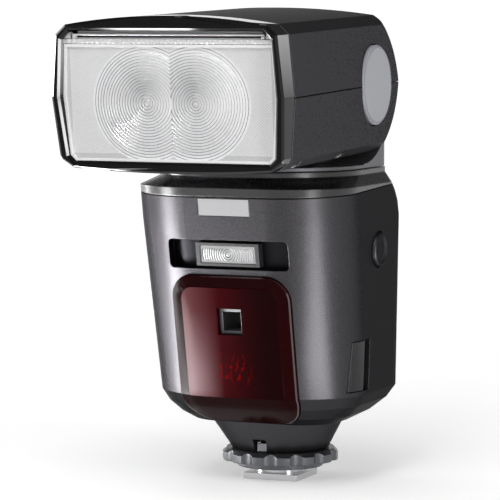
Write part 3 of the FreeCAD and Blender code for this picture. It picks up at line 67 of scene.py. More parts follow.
def finish(name, colour, rough, metal=0.0, fleck=0.1, size=0.6, grain=0.004, soften=0.15, clear=0.0,
           level=0.5, edge=1.0):
    """A finish whose colour, gloss and surface vary with one fine grain.

    The colour varies by the share in fleck. Size, grain and soften are the grain's width, its depth
    and the radius of the softened edges, in millimetres. Clear is the weight of a clear coat, level
    the strength of the reflection and edge its tint.
    """
    material = bpy.data.materials.new(name)
    material.use_nodes = True
    tree = material.node_tree
    shader = tree.nodes["Principled BSDF"]
    shader.inputs["Metallic"].default_value = metal
    shader.inputs["Coat Weight"].default_value = clear
    shader.inputs["Coat Roughness"].default_value = COAT_ROUGH
    shader.inputs["Specular IOR Level"].default_value = level
    shader.inputs["Specular Tint"].default_value = (edge, edge, edge, 1)
    place = tree.nodes.new("ShaderNodeTexCoord")
    speckle = tree.nodes.new("ShaderNodeTexNoise")
    speckle.inputs["Scale"].default_value = 1 / (size * MM)
    speckle.inputs["Detail"].default_value = 2
    tree.links.new(place.outputs["Object"], speckle.inputs["Vector"])
    spread = tree.nodes.new("ShaderNodeMapRange")
    spread.inputs["From Min"].default_value = NOISE_LOW
    spread.inputs["From Max"].default_value = NOISE_HIGH
    tree.links.new(speckle.outputs["Fac"], spread.inputs["Value"])
    tint = tree.nodes.new("ShaderNodeMix")
    tint.data_type = "RGBA"
    tint.inputs["A"].default_value = (*(c * (1 - fleck) for c in colour), 1)
    tint.inputs["B"].default_value = (*(min(1, c * (1 + fleck)) for c in colour), 1)
    tree.links.new(spread.outputs["Result"], tint.inputs["Factor"])
    tree.links.new(tint.outputs["Result"], shader.inputs["Base Color"])
    gloss = tree.nodes.new("ShaderNodeMapRange")
    gloss.inputs["To Min"].default_value = rough * (1 - GLOSS_SPREAD)
    gloss.inputs["To Max"].default_value = min(1, rough * (1 + GLOSS_SPREAD))
    tree.links.new(spread.outputs["Result"], gloss.inputs["Value"])
    tree.links.new(gloss.outputs["Result"], shader.inputs["Roughness"])
    rounding = tree.nodes.new("ShaderNodeBevel")
    rounding.samples = 4
    rounding.inputs["Radius"].default_value = soften * MM
    bump = tree.nodes.new("ShaderNodeBump")
    bump.inputs["Strength"].default_value = 1.0
    bump.inputs["Distance"].default_value = grain * MM
    tree.links.new(speckle.outputs["Fac"], bump.inputs["Height"])
    tree.links.new(rounding.outputs["Normal"], bump.inputs["Normal"])
    tree.links.new(bump.outputs["Normal"], shader.inputs["Normal"])
    return material


def dress(material, *names):
    """Gives the named CAD pieces one material all over."""
    for name in names:
        for held in cad[name].material_slots:
            held.material = material


chrome = finish("bright_chrome", (0.6, 0.6, 0.61), 0.24, metal=1.0, fleck=0.06, grain=0.002, soften=0.2)
insert_black = finish("insert_black", (0.012, 0.012, 0.013), 0.45, fleck=0.3, size=0.3)
gilt = finish("gilt_contact", (0.86, 0.62, 0.24), 0.22, metal=1.0, fleck=0.06, size=0.4, grain=0.002)
steel = finish("bright_steel", (0.55, 0.55, 0.56), 0.3, metal=1.0, size=0.3)
dress(chrome, "foot_plate")
dress(insert_black, "contact_insert")
dress(gilt, "contact_pins")
dress(steel, "foot_screws", "body_screws", "head_screws")


# ---------------------------------------------------------------- locking wheel and clamp
# Knurled wheel on a threaded sleeve, moulded in grey nylon. Turning it draws the clamp plate
# towards the shoe and pushes the steel lock pin down into the shoe's hole.

wheel_grey = finish("wheel_grey", (0.11, 0.112, 0.12), 0.32, metal=0.85, fleck=0.14, size=0.35,
                    grain=0.003, soften=0.35)
dress(wheel_grey, "clamp_plate", "locking_wheel")
dress(finish("pin_steel", (0.16, 0.165, 0.18), 0.35, metal=0.6, fleck=0.12, size=0.3), "locking_pin")


# ---------------------------------------------------------------- foot neck
# Funnel-shaped nylon neck between the wheel and the body, screwed up into the body's floor.
# Its notch shows the tab of the lock pin.

neck_grey = finish("neck_grey", (0.062, 0.061, 0.065), 0.38, metal=0.85, fleck=0.22, size=0.3,
                   grain=0.006, soften=0.3, level=0.2, edge=0.3)
dress(neck_grey, "foot_neck")


# ---------------------------------------------------------------- body housings
# Front and rear housing in glass-filled nylon under a charcoal lacquer with a fine metallic
# grain. They meet in an upright joint on the sides and are screwed together from the back.

lacquer = finish("charcoal_lacquer", (0.045, 0.0435, 0.047), 0.35, metal=0.85, fleck=0.22, size=0.4,
                 soften=0.3, level=0.2, edge=0.25)
dress(lacquer, "front_housing", "rear_housing")


# ---------------------------------------------------------------- top cap
# Moulded cap in satin black plastic that closes both housings at the top. The swivel block turns
# on its flat ring, and a clip holds the two together from below.

satin = finish("satin_black", (0.008, 0.008, 0.009), 0.25, fleck=0.2, size=0.4, soften=0.5)
dress(satin, "top_cap")


# ---------------------------------------------------------------- name plate
# Small blank plate cut from thin white sheet. It is glued into its recess in the front housing,
# above the second lamp.

plate_white = finish("plate_white", (0.85, 0.85, 0.86), 0.35, fleck=0.02, size=0.5, grain=0.002)
dress(plate_white, "name_plate")


# ---------------------------------------------------------------- focus window
# Deep red acrylic pane over the focus lamps, with the sensor's square hole in it. It runs
# round the break at the bottom of the body and is bonded into an opening in the front housing.

IN_MM = Matrix.Scale(MM, 4)
PANE_RISE = 1.0       # how far the pane stands out from its seat
PANE_CROWN = 0.9      # swell of the pane's flat part
PANE_BORDER = 3.8     # width of the band round the flat part
PANE_CORNER = 7.5
PANE_TIP_CORNER = 8.5
PANE_CREASE = 29.5    # height at which the pane turns under the body
PANE_COLUMNS = 24
PANE_ROW = 1          # spacing of the rows of points
TIP_ROWS = (0.15, 0.5)    # height of the first two over the tip
CREASE_ROW = 0.4      # and of one over the crease
TAPER_FROM = 0.3      # the pane rises to its full height from here to the crease
ARC_STEPS = 12
LEAST_RISE = 0.04
RAY_START = -0.2      # metres, well in front of the part
WALL_DEPTH, TIP_WALL_DEPTH = 1.0, 0.3    # how far the pane's walls go back
SMOOTH_BELOW = 14     # degrees between faces that shade as one
SENSOR_HOLE = 4.15    # half the width of the sensor's hole
HOLE_MARGIN = 0.6
# distance from the rim and rise of each line that runs round the pane
PANE_LINES = ((0.12, 0.0), (0.45, 0.5), (PANE_BORDER - 0.3, PANE_RISE - 0.12), (PANE_BORDER, PANE_RISE))
# painted light on the pane: a painted red glow, a painted sheen and painted glowing lamp streaks
PAINTED_GLOW_RED, PAINTED_SHEEN_PALE, PAINTED_LAMP_GLOW_RED = (0.16, 0.006, 0.012), (0.5, 0.3, 0.32), (0.32, 0.0, 0.0)
GLOW_FROM, GLOW_WIDTH, GLOW_CURVE = 12, 28, 1.5       # painted glow: the red is painted brighter from this x to the left, and a painted pale sheen, a painted reflection, further left, which grows from this height down
SHEEN_FROM, SHEEN_WIDTH, SHEEN_CURVE = -3, 11, 1.3    # and takes a pale sheen further left,
SHEEN_TOP, SHEEN_HEIGHT, SHEEN_LEAST = 64, 32, 0.25   # which grows from this height down
STREAKS_HALF_X, STREAKS_Z, STREAKS_HALF_Z = 7, 38.5, 5.5    # where painted glowing streaks stand for the focus lamps behind the pane
STREAKS_PER_X, STREAKS_PER_Z = 0.9, 0.4
STREAKS_OVER, STREAKS_GAIN = 0.52, 7


def maths(tree, operation, *values):
    """A math node's result; each value is a number or another node's output."""
    node = tree.nodes.new("ShaderNodeMath")
    node.operation = operation
    for socket, value in zip(node.inputs, values):
        if isinstance(value, (int, float)):
            socket.default_value = value
        else:
            tree.links.new(value, socket)
    return node.outputs[0]


def place_of(tree):
    """X, Y and Z in the object's own frame, in millimetres."""
    coords = tree.nodes.new("ShaderNodeTexCoord")
    split = tree.nodes.new("ShaderNodeSeparateXYZ")
    tree.links.new(coords.outputs["Object"], split.inputs[0])
    return [maths(tree, "DIVIDE", split.outputs[axis], MM) for axis in range(3)]


def fade(tree, value, start, width, least=0):
    """Grows from the least to 1 while a value falls from the start by the width."""
    share = maths(tree, "DIVIDE", maths(tree, "SUBTRACT", start, value), width)
    return maths(tree, "MAXIMUM", maths(tree, "MINIMUM", share, 1), least)


def hump(tree, value, middle, half):
    """1 where a value is at the middle, and 0 from half a width away."""
    away = maths(tree, "DIVIDE", maths(tree, "SUBTRACT", value, middle), half)
    return maths(tree, "MAXIMUM", maths(tree, "SUBTRACT", 1, maths(tree, "POWER", away, 2)), 0)


def overlay(material, mask, colour):
    """Lays a second colour over a finish, as far as the mask lets it."""
    tree = material.node_tree
    base = tree.nodes["Principled BSDF"].inputs["Base Color"]
    mix = tree.nodes.new("ShaderNodeMix")
    mix.data_type = "RGBA"
    tree.links.new(base.links[0].from_socket, mix.inputs["A"])
    mix.inputs["B"].default_value = (*colour, 1)
    tree.links.new(mask, mix.inputs["Factor"])
    tree.links.new(mix.outputs["Result"], base)


def new_piece(name, shape, seat, *materials):
    """An object with the shape's faces, which the seat carries into the scene."""
    mesh = bpy.data.meshes.new(name)
    shape.to_mesh(mesh)
    shape.free()
    mesh.transform(seat)
    for material in materials:
        mesh.materials.append(material)
    piece = bpy.data.objects.new(name, mesh)
    bpy.context.scene.collection.objects.link(piece)
    return piece


pane_low, pane_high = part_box("af_window")
pane_half, pane_top, pane_tip = pane_high.x / MM, pane_high.z / MM, pane_low.z / MM
flat_pane = cad["af_window"].data
front = BVHTree.FromPolygons([v.co for v in flat_pane.vertices], [f.vertices for f in flat_pane.polygons])
arc = [math.radians(90 * step / ARC_STEPS) for step in range(ARC_STEPS + 1)]
heights = [pane_tip + row for row in TIP_ROWS]
while heights[-1] < PANE_CREASE - PANE_ROW:
    heights.append(heights[-1] + PANE_ROW)
heights += [PANE_CREASE, PANE_CREASE + CREASE_ROW]
while heights[-1] < pane_top - PANE_CORNER - PANE_ROW:
    heights.append(heights[-1] + PANE_ROW)


def pane_line(inset):
    """Points up the left side, over the top and down the right side, at one distance from the rim."""
    left = []
    for height in heights:
        drop = max(0, pane_tip + PANE_TIP_CORNER - height)
        half = pane_half - PANE_TIP_CORNER + math.sqrt(max(0, PANE_TIP_CORNER ** 2 - drop ** 2))
        left.append((-(half - inset), height))
    middle, reach = pane_half - PANE_CORNER, PANE_CORNER - inset
    for turn in arc:
        left.append((-middle - reach * math.cos(turn), pane_top - PANE_CORNER + reach * math.sin(turn)))
    side = PANE_COLUMNS // 2
    across = [(middle * step / side, pane_top - inset) for step in range(1 - side, side)]
    return left + across + [(-x, z) for x, z in reversed(left)]


crown = bmesh.new()


def pane_point(x, z, rise):
    """A point this far out from the CAD pane's front, and less far towards its tip."""
    taper = min(1, max(LEAST_RISE, (z - pane_tip - TAPER_FROM) / (PANE_CREASE - pane_tip)))
    for beside in (x, SENSOR_HOLE + HOLE_MARGIN):
        touch = front.ray_cast(Vector((beside * MM, RAY_START, z * MM)), Vector((0, 1, 0)))[0]
        if touch:
            break
    return crown.verts.new((x, touch.y / MM - max(LEAST_RISE, rise * taper), z))


lines = []
for inset, rise in PANE_LINES:
    lines.append([pane_point(x, z, rise) for x, z in pane_line(inset)])
for ring, (outer, inner) in enumerate(zip(lines, lines[1:])):
    for step in range(len(outer) - 1):
        face = crown.faces.new((outer[step], outer[step + 1], inner[step + 1], inner[step]))
        face.material_index = 1 if ring else 2
rows = len(heights) + len(arc)
inner = lines[-1]
before = None
for row in range(rows - 1):
    left, right = inner[row], inner[-1 - row]
    ease = min(1, (pane_top - PANE_BORDER - left.co.z) / PANE_CORNER)
    line = [left]
    for step in range(1, PANE_COLUMNS):
        x = left.co.x + (right.co.x - left.co.x) * step / PANE_COLUMNS
        swell = PANE_CROWN * (1 - (x / left.co.x) ** 2) * ease
        line.append(pane_point(x, left.co.z, PANE_RISE + swell))
    line.append(right)
    if before:
        for step in range(PANE_COLUMNS):
            face = crown.faces.new((before[step], line[step], line[step + 1], before[step + 1]))
            face.material_index = 0 if line[0].co.z > PANE_CREASE + CREASE_ROW / 2 else 1
    before = line
last = inner[rows - 1:len(inner) - rows + 1]
for step in range(PANE_COLUMNS):
    crown.faces.new((before[step], last[step], last[step + 1], before[step + 1]))
sensor_low, sensor_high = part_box("sensor_frame")
hole_z = (sensor_low.z + sensor_high.z) / 2 / MM
sides = [(0, -SENSOR_HOLE), (0, SENSOR_HOLE), (2, hole_z - SENSOR_HOLE), (2, hole_z + SENSOR_HOLE)]
for axis, place in sides:
    point, normal = Vector(), Vector()
    point[axis], normal[axis] = place, 1
    geometry = crown.verts[:] + crown.edges[:] + crown.faces[:]
    bmesh.ops.bisect_plane(crown, geom=geometry, plane_co=point, plane_no=normal)
inside = []
for face in crown.faces:
    middle = face.calc_center_median()
    if abs(middle.x) < SENSOR_HOLE and abs(middle.z - hole_z) < SENSOR_HOLE:
        inside.append(face)
bmesh.ops.delete(crown, geom=inside, context="FACES")
rim = [edge for edge in crown.edges if edge.is_boundary]
for item in bmesh.ops.extrude_edge_only(crown, edges=rim)["geom"]:
    if isinstance(item, bmesh.types.BMVert):
        item.co.y += TIP_WALL_DEPTH if item.co.z < pane_tip + 1 else WALL_DEPTH
bmesh.ops.recalc_face_normals(crown, faces=crown.faces[:])
pane_crown = new_piece("pane_crown", crown, IN_MM)
mesh = pane_crown.data
mesh.polygons.foreach_set("use_smooth", [True] * len(mesh.polygons))
mesh.set_sharp_from_angle(angle=math.radians(SMOOTH_BELOW))
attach(pane_crown, "body")

pane_red = finish("pane_red", (0.02, 0.0006, 0.001), 0.14, size=2.0, grain=0.0, soften=0.3, level=0.03)
pane_edge = finish("pane_edge", (0.03, 0.002, 0.003), 0.12, size=2.0, grain=0.0, soften=0.0, level=1.0)
pane_lit = finish("pane_lit", (0.014, 0.0006, 0.001), 0.2, fleck=0.06, size=3.0, grain=0.0, soften=0.0,
                  level=0.03)
# Painted light on the pane's flat part: a painted glow, a painted reflection at the left and painted lamp
# glow.
tree = pane_lit.node_tree
x, _, z = place_of(tree)
painted_glow = maths(tree, "POWER", fade(tree, x, GLOW_FROM, GLOW_WIDTH), GLOW_CURVE)
overlay(pane_lit, painted_glow, PAINTED_GLOW_RED)
left = maths(tree, "POWER", fade(tree, x, SHEEN_FROM, SHEEN_WIDTH), SHEEN_CURVE)
down = fade(tree, z, SHEEN_TOP, SHEEN_HEIGHT, SHEEN_LEAST)
overlay(pane_lit, maths(tree, "MULTIPLY", left, down), PAINTED_SHEEN_PALE)
streaks = tree.nodes.new("ShaderNodeTexNoise")
streaks.inputs["Scale"].default_value = 1.0
join = tree.nodes.new("ShaderNodeCombineXYZ")
tree.links.new(maths(tree, "MULTIPLY", x, STREAKS_PER_X), join.inputs["X"])
tree.links.new(maths(tree, "MULTIPLY", z, STREAKS_PER_Z), join.inputs["Z"])
tree.links.new(join.outputs[0], streaks.inputs["Vector"])
near = maths(tree, "MULTIPLY", hump(tree, x, 0, STREAKS_HALF_X), hump(tree, z, STREAKS_Z, STREAKS_HALF_Z))
peaks = maths(tree, "MAXIMUM", maths(tree, "SUBTRACT", streaks.outputs["Fac"], STREAKS_OVER), 0)
peaks = maths(tree, "MULTIPLY", peaks, STREAKS_GAIN)
overlay(pane_lit, maths(tree, "MINIMUM", maths(tree, "MULTIPLY", near, peaks), 1), PAINTED_LAMP_GLOW_RED)
for material in (pane_lit, pane_red, pane_edge):
    mesh.materials.append(material)
dress(pane_red, "af_window")
dress(finish("sensor_grey", (0.2, 0.2, 0.21), 0.35, metal=0.7, size=0.3), "sensor_frame")
dress(finish("sensor_black", (0.004, 0.004, 0.005), 0.15, size=1.0), "photo_sensor")
dress(finish("lamp_red", (0.7, 0.03, 0.03), 0.15, size=0.8), "focus_lamps")
board_green = finish("board_green", (0.015, 0.08, 0.035), 0.4, fleck=0.3, size=1.5)
dress(board_green, "front_board", "main_board")


# ---------------------------------------------------------------- second lamp
# Small fixed flash lamp: a glass tube in a silvered reflector, behind a clear moulded lens. Its
# grey frame is pushed into a slot in the front housing, whose walls are painted black as painted shade.

SLOT_HALF, SLOT_HEIGHT, SLOT_Z = 20.3, 9.6, 74.1
# painted shade: the black that is painted on the slot's walls
SLOT_SHADE_BLACK = (0.014, 0.014, 0.016)
FRONT_Y, FRONT_Z = -43.3, 78.6    # a point on the body's front face
FRONT_LEAN = 0.194    # the front face goes back this much for each millimetre down
SLOT_LIP = 1.2        # painted shade: the lacquer is painted black from this deep in the slot
SLOT_BACK = -30       # and nothing behind this changes
SAME_SIDE = 0.7       # a face looks to a side if the cosine between them is over this
RING_STEPS = 128
RING_FOOT = 0.05      # height of the valleys between the rings
RING_SKIRT = -0.1     # height to which the outer walls go down
RING_SPLIT = 0.04     # half the gap between two sets of rings
SUB_PITCH, SUB_RISER, SUB_GROOVE = 0.75, 0.25, 0.2
SUB_RINGS, SUB_PLAIN = 14, 13
SUB_MARGIN_X, SUB_MARGIN_Z = 0.5, 0.8


def face_towards(node, facing):
    """Middle and outward direction of the largest flat face on that side of a CAD piece."""
    groups = {}
    for face in cad[node].data.polygons:
        if face.normal.dot(facing) > SAME_SIDE:
            key = tuple(round(v, 2) for v in face.normal)
            group = groups.setdefault(key, [0.0, Vector(), Vector()])
            group[0] += face.area
            group[1] += face.center * face.area
            group[2] += face.normal * face.area
    area, point, normal = max(groups.values(), key=lambda group: group[0])
    return point / area, normal.normalized()


def on_face(node, facing, across=Vector((1, 0, 0))):
    """Matrix with its origin in a flat face: x to the right, y up and z out of the face."""
    middle, out = face_towards(node, facing)
    up = out.cross(across).normalized()
    return Matrix.Translation(middle) @ Matrix((across, up, out)).transposed().to_4x4()


def circle_of(shape, middle, radius, height, steps):
    """A closed loop of new points round a middle."""
    turns = [math.tau * step / steps for step in range(steps)]
    mid_x, mid_y = middle
    return [shape.verts.new((mid_x + radius * math.cos(turn), mid_y + radius * math.sin(turn), height))
            for turn in turns]


def bridge(shape, loop, beyond):
    """New faces between two closed loops with as many points."""
    faces = []
    for step in range(len(loop)):
        after = (step + 1) % len(loop)
        faces.append(shape.faces.new((loop[step], loop[after], beyond[after], beyond[step])))
    return faces


def prism_rings(name, seat, middles, pitch, riser, count, plain, groove, window, materials, body):
    """Rings of prisms round each middle, cut off half-way between the middles and at the window.

    Each ring climbs over its riser and falls over the rest of its pitch, and those outside the
    plain ones get shallower. Everything is in millimetres in the frame of the seat, and the risers
    take the second material, a darker one that is painted shade in the grooves.
    """
    whole = bmesh.new()
    for index, middle in enumerate(middles):
        rings = bmesh.new()
        before = None
        for ring in range(count):
            depth = groove * min(1.0, (count - ring) / (count - plain))
            for radius, height in ((ring * pitch + riser, depth), ((ring + 1) * pitch, RING_FOOT)):
                circle = circle_of(rings, middle, radius, height, RING_STEPS)
                if before:
                    for face in bridge(rings, before, circle):
                        face.material_index = int(height > RING_FOOT)
                else:
                    rings.faces.new(circle)
                before = circle
        cuts = [((0, window[1], 0), (0, -1, 0)), ((0, window[3], 0), (0, 1, 0)),
                ((window[0], 0, 0), (-1, 0, 0)), ((window[2], 0, 0), (1, 0, 0))]
        if len(middles) > 1:
            split = (middles[0][0] + middles[1][0]) / 2 + (RING_SPLIT if index else -RING_SPLIT)
            cuts.append(((split, 0, 0), (-1 if index else 1, 0, 0)))
        for point, outward in cuts:
            geometry = rings.verts[:] + rings.edges[:] + rings.faces[:]
            bmesh.ops.bisect_plane(rings, geom=geometry, plane_co=point, plane_no=outward, clear_outer=True)
        rim = [edge for edge in rings.edges if edge.is_boundary]
        for item in bmesh.ops.extrude_edge_only(rings, edges=rim)["geom"]:
            if isinstance(item, bmesh.types.BMVert):
                item.co.z = RING_SKIRT
        bmesh.ops.recalc_face_normals(rings, faces=rings.faces[:])
        part = bpy.data.meshes.new("ring_part")
        rings.to_mesh(part)
        rings.free()
        whole.from_mesh(part)
        bpy.data.meshes.remove(part)
    piece = new_piece(name, whole, seat @ IN_MM, *materials)
    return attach(piece, body)


def in_rectangle(tree, x, z, half_x, half_z, middle_z):
    """1 inside an upright rectangle about x = 0, and 0 outside it."""
    in_x = maths(tree, "LESS_THAN", maths(tree, "ABSOLUTE", x), half_x)
    in_z = maths(tree, "LESS_THAN", maths(tree, "ABSOLUTE", maths(tree, "SUBTRACT", z, middle_z)), half_z)
    return maths(tree, "MULTIPLY", in_x, in_z)


# Painted shade: the lacquer is painted black inside the second lamp's slot.
tree = lacquer.node_tree
x, y, z = place_of(tree)
lean = maths(tree, "MULTIPLY", maths(tree, "SUBTRACT", z, FRONT_Z), FRONT_LEAN)
depth = maths(tree, "SUBTRACT", y, maths(tree, "SUBTRACT", FRONT_Y, lean))
sunk = maths(tree, "GREATER_THAN", depth, SLOT_LIP)
ahead = maths(tree, "LESS_THAN", y, SLOT_BACK)
slot = in_rectangle(tree, x, z, SLOT_HALF, SLOT_HEIGHT / 2, SLOT_Z)
overlay(lacquer, maths(tree, "MULTIPLY", maths(tree, "MULTIPLY", sunk, ahead), slot), SLOT_SHADE_BLACK)
frame_grey = finish("frame_grey", (0.045, 0.045, 0.048), 0.35, metal=0.3, fleck=0.12, size=0.3, soften=0.2)
silver = finish("silver_sheet", (0.8, 0.8, 0.8), 0.15, metal=1.0, fleck=0.05, size=1.0)
tube_glass = finish("tube_glass", (0.7, 0.72, 0.74), 0.05, fleck=0.03, size=1.5, grain=0.0)
lens_clear = finish("lens_clear", (0.95, 0.95, 0.96), 0.25, fleck=0.03, size=0.8, grain=0.01, level=0.2)
dress(frame_grey, "sub_flash_frame")
dress(lens_clear, "sub_flash_lens")
dress(silver, "sub_flash_reflector")
dress(tube_glass, "sub_flash_tube")
# painted shade: the second lens's ring risers are darker to shade its grooves
groove_shade_grey = finish("groove_shade_grey", (0.2, 0.2, 0.21), 0.3, fleck=0.08, size=0.8, grain=0.0, soften=0.0)
sub_seat = on_face("sub_flash_lens", Vector((0, -1, 0)))
sub_low, sub_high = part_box("sub_flash_lens")
sub_half = (sub_high.x - sub_low.x) / 2 / MM - SUB_MARGIN_X
sub_rise = (sub_high.z - sub_low.z) / 2 / MM - SUB_MARGIN_Z
sub_window = (-sub_half, -sub_rise, sub_half, sub_rise)
sub_rings = prism_rings("second_lens_rings", sub_seat, [(0, 0)], SUB_PITCH, SUB_RISER, SUB_RINGS, SUB_PLAIN,
                        SUB_GROOVE, sub_window, (lens_clear, groove_shade_grey), "body")


# ---------------------------------------------------------------- side fittings
# Soft dark flap over the data socket, hung on its own moulded pins, and a round plug with a rolled
# rim over the power socket, which its stem holds in the hole.

PLUG_STEPS = 64
PLUG_MARGIN = 0.15
# share of the plug's radius and height of each line of its cover, from the middle outwards
PLUG_ROLL = [(0.55, 0.35), (0.75, 0.42), (0.82, 0.75), (0.88, 0.85), (0.95, 0.75), (1.0, 0.4), (1.0, -0.1)]

flap_grey = finish("flap_grey", (0.01, 0.01, 0.012), 0.5, fleck=0.2, size=0.3, soften=0.25, level=0.25)
dress(flap_grey, "port_flap")
dress(lacquer, "socket_plug")
plug_low, plug_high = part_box("socket_plug")
plug_radius = (plug_high.z - plug_low.z) / 2 / MM - PLUG_MARGIN
lathe = bmesh.new()
before = None
for share, height in PLUG_ROLL:
    circle = circle_of(lathe, (0, 0), share * plug_radius, height, PLUG_STEPS)
    if before:
        bridge(lathe, before, circle)
    else:
        lathe.faces.new(circle)
    before = circle
bmesh.ops.recalc_face_normals(lathe, faces=lathe.faces[:])
plug_seat = on_face("socket_plug", Vector((1, 0, 0)), Vector((0, 1, 0)))
plug_cover = new_piece("plug_cover", lathe, plug_seat @ IN_MM, lacquer)
for face in plug_cover.data.polygons:
    face.use_smooth = len(face.vertices) == 4
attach(plug_cover, "plug")
dress(steel, "data_socket", "power_socket")


# ---------------------------------------------------------------- battery bay
# Hinged door on the left side with grip ribs for the thumb, and a nylon cradle that holds four
# cells behind it.

DOOR_RIBS = 7
RIB_FIRST, RIB_PITCH = 5.5, 1.5
# half length, half width and height of each layer of a rib
RIB_LAYERS = ((8.0, 0.4, -0.1), (8.0, 0.4, 0.15), (7.8, 0.2, 0.4))
SQUARE = ((-1, -1), (1, -1), (1, 1), (-1, 1))

dress(lacquer, "battery_door")
ribs = bmesh.new()
for step in range(DOOR_RIBS):
    up = RIB_FIRST + step * RIB_PITCH
    layers = []
    for half_x, half_y, rise in RIB_LAYERS:
        layers.append([ribs.verts.new((x * half_x, up + y * half_y, rise)) for x, y in SQUARE])
    for below, above in zip(layers, layers[1:]):
        bridge(ribs, below, above)
    ribs.faces.new(layers[-1])
    ribs.faces.new(layers[0][::-1])
door_seat = on_face("battery_door", Vector((-1, 0, 0)), Vector((0, -1, 0)))
door_ribs = new_piece("door_ribs", ribs, door_seat @ IN_MM, lacquer)
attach(door_ribs, "door")
dress(neck_grey, "battery_cradle")
dress(finish("cell_jacket", (0.03, 0.09, 0.22), 0.3, size=2.0), "battery_cells")
dress(steel, "battery_contacts")


# ---------------------------------------------------------------- flash capacitor
# Large photoflash capacitor, an aluminium can in a shrunk black sleeve. It lies across the body
# above the cradle of the cells.

dress(finish("black_sleeve", (0.02, 0.02, 0.022), 0.35, fleck=0.15, size=1.0), "flash_capacitor")


# ---------------------------------------------------------------- control panel
# Panel on the back with a liquid-crystal display behind a dark glass and two round keys. A raised
# black trim runs round the glass and round each key.

DISPLAY_PALE, DISPLAY_INK = (0.11, 0.13, 0.1), (0.02, 0.024, 0.02)
SCREEN_HALF_X, SCREEN_HALF_Z = 21.5, 14.0
MARKS_HALF_X = 19.2
SCALE_Z, SCALE_HALF_Z = -9.5, 1.1    # from the display's middle
SCALE_SHIFT, SCALE_PITCH, SCALE_GAP = 100.0, 2.4, 0.35
LINES_Z, LINE_HALF_Z = (-7.0, 8.0), 0.15
GLASS_MARGIN, GLASS_CORNER, KEY_MARGIN = 1.0, 2.0, 1.1
CORNER_STEPS = 8
SAME_CORNER = 0.001   # points nearer than this are one
# inset and height of each line of the trim's section
COLLAR = [(0.0, -0.15), (0.0, 0.2), (0.2, 0.4), (0.7, 0.4), (0.9, 0.2), (0.9, -0.15)]

panel_black = finish("panel_black", (0.018, 0.018, 0.02), 0.4, fleck=0.25, size=0.35, soften=0.4)
dress(panel_black, "control_panel")
display = finish("display_glass", (0.012, 0.013, 0.013), 0.06, fleck=0.04, size=4.0, grain=0.0, clear=1.0)
dress(display, "display_glass")
glass_low, glass_high = (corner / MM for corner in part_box("display_glass"))
display_z = (glass_low.z + glass_high.z) / 2
tree = display.node_tree
x, _, z = place_of(tree)
overlay(display, in_rectangle(tree, x, z, SCREEN_HALF_X, SCREEN_HALF_Z, display_z), DISPLAY_PALE)
bars = maths(tree, "FRACT", maths(tree, "DIVIDE", maths(tree, "ADD", x, SCALE_SHIFT), SCALE_PITCH))
bars = maths(tree, "GREATER_THAN", bars, SCALE_GAP)
scale = in_rectangle(tree, x, z, MARKS_HALF_X, SCALE_HALF_Z, display_z + SCALE_Z)
overlay(display, maths(tree, "MULTIPLY", scale, bars), DISPLAY_INK)
for line_z in LINES_Z:
    overlay(display, in_rectangle(tree, x, z, MARKS_HALF_X, LINE_HALF_Z, display_z + line_z), DISPLAY_INK)

trim = bmesh.new()
half_x, half_z = (glass_high.x - glass_low.x) / 2, (glass_high.z - glass_low.z) / 2
collars = [(0.0, display_z, half_x + GLASS_MARGIN, half_z + GLASS_MARGIN, GLASS_CORNER)]
for low, high in [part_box(name) for name in ("power_key", "test_key")]:
    around = (high.x - low.x) / 2 / MM + KEY_MARGIN
    collars.append(((low.x + high.x) / 2 / MM, (low.z + high.z) / 2 / MM, around, around, around))
for middle_x, middle_z, half_x, half_z, corner in collars:
    loops = []
    for inset, rise in COLLAR:
        loop = []
        for quarter, (sign_x, sign_z) in enumerate(((1, 1), (-1, 1), (-1, -1), (1, -1))):
            for step in range(CORNER_STEPS + 1):
                turn = math.radians(90 * quarter + 90 * step / CORNER_STEPS)
                along = middle_x + sign_x * (half_x - corner) + (corner - inset) * math.cos(turn)
                up = middle_z + sign_z * (half_z - corner) + (corner - inset) * math.sin(turn)
                loop.append(trim.verts.new((along, glass_high.y + rise, up)))
        loops.append(loop)
    for outer, inner in zip(loops, loops[1:] + loops[:1]):
        bridge(trim, outer, inner)
bmesh.ops.remove_doubles(trim, verts=trim.verts[:], dist=SAME_CORNER)
bmesh.ops.recalc_face_normals(trim, faces=trim.faces[:])
trim_black = finish("trim_black", (0.03, 0.03, 0.032), 0.25, soften=0.1)
panel_trim = new_piece("panel_trim", trim, IN_MM, trim_black)
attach(panel_trim, "body")
dress(finish("display_cell", (0.22, 0.26, 0.2), 0.3, fleck=0.05, size=1.0), "display_module")
key_grey = finish("key_grey", (0.16, 0.16, 0.17), 0.45, fleck=0.12, size=0.4, soften=0.4)
dress(key_grey, "power_key", "test_key")


# ---------------------------------------------------------------- swivel block
# Turning block on the top cap, moulded in one with a saddle under the head and the hollow drum that
# the head tilts on. A steel clip under the cap's ring keeps it there.

turret_black = finish("turret_black", (0.1, 0.1, 0.107), 0.42, metal=0.5, fleck=0.22, size=0.35, soften=0.4)
dress(turret_black, "swivel_block")
dress(steel, "swivel_clip")


# ---------------------------------------------------------------- head shells
# Upper and lower shell in the body's charcoal lacquer, painted a little lighter than the body's as painted
# light for the head's sides. They meet half-way up the sides and are screwed together.

head_lacquer_painted_lighter = finish("head_lacquer_painted_lighter", (0.09, 0.088, 0.094), 0.38, metal=0.85, fleck=0.22, size=0.4,
                      soften=0.3, level=0.2, edge=0.2)
dress(head_lacquer_painted_lighter, "head_shell_upper", "head_shell_lower")


# ---------------------------------------------------------------- bezel
# Polished black frame that holds the lens, snapped on to the front of the shells. Its right side
# has a painted sheen above the joint: a painted reflection.

SHEEN_FOOT = 123.6    # height of the joint in the bezel's side
SHEEN_CLIMB = 22.0    # the painted sheen grows from its least to full over this height
SHEEN_START = 0.15
PAINTED_SHEEN_GREY = (0.5, 0.5, 0.505)
TO_THE_RIGHT = 0.85   # only faces that point further to the right than this have it
CHAMFER = 0.65
CHAMFER_OVER = 50     # degrees; edges that turn further get it
SAME_EDGE = 0.002     # corners nearer than this are one

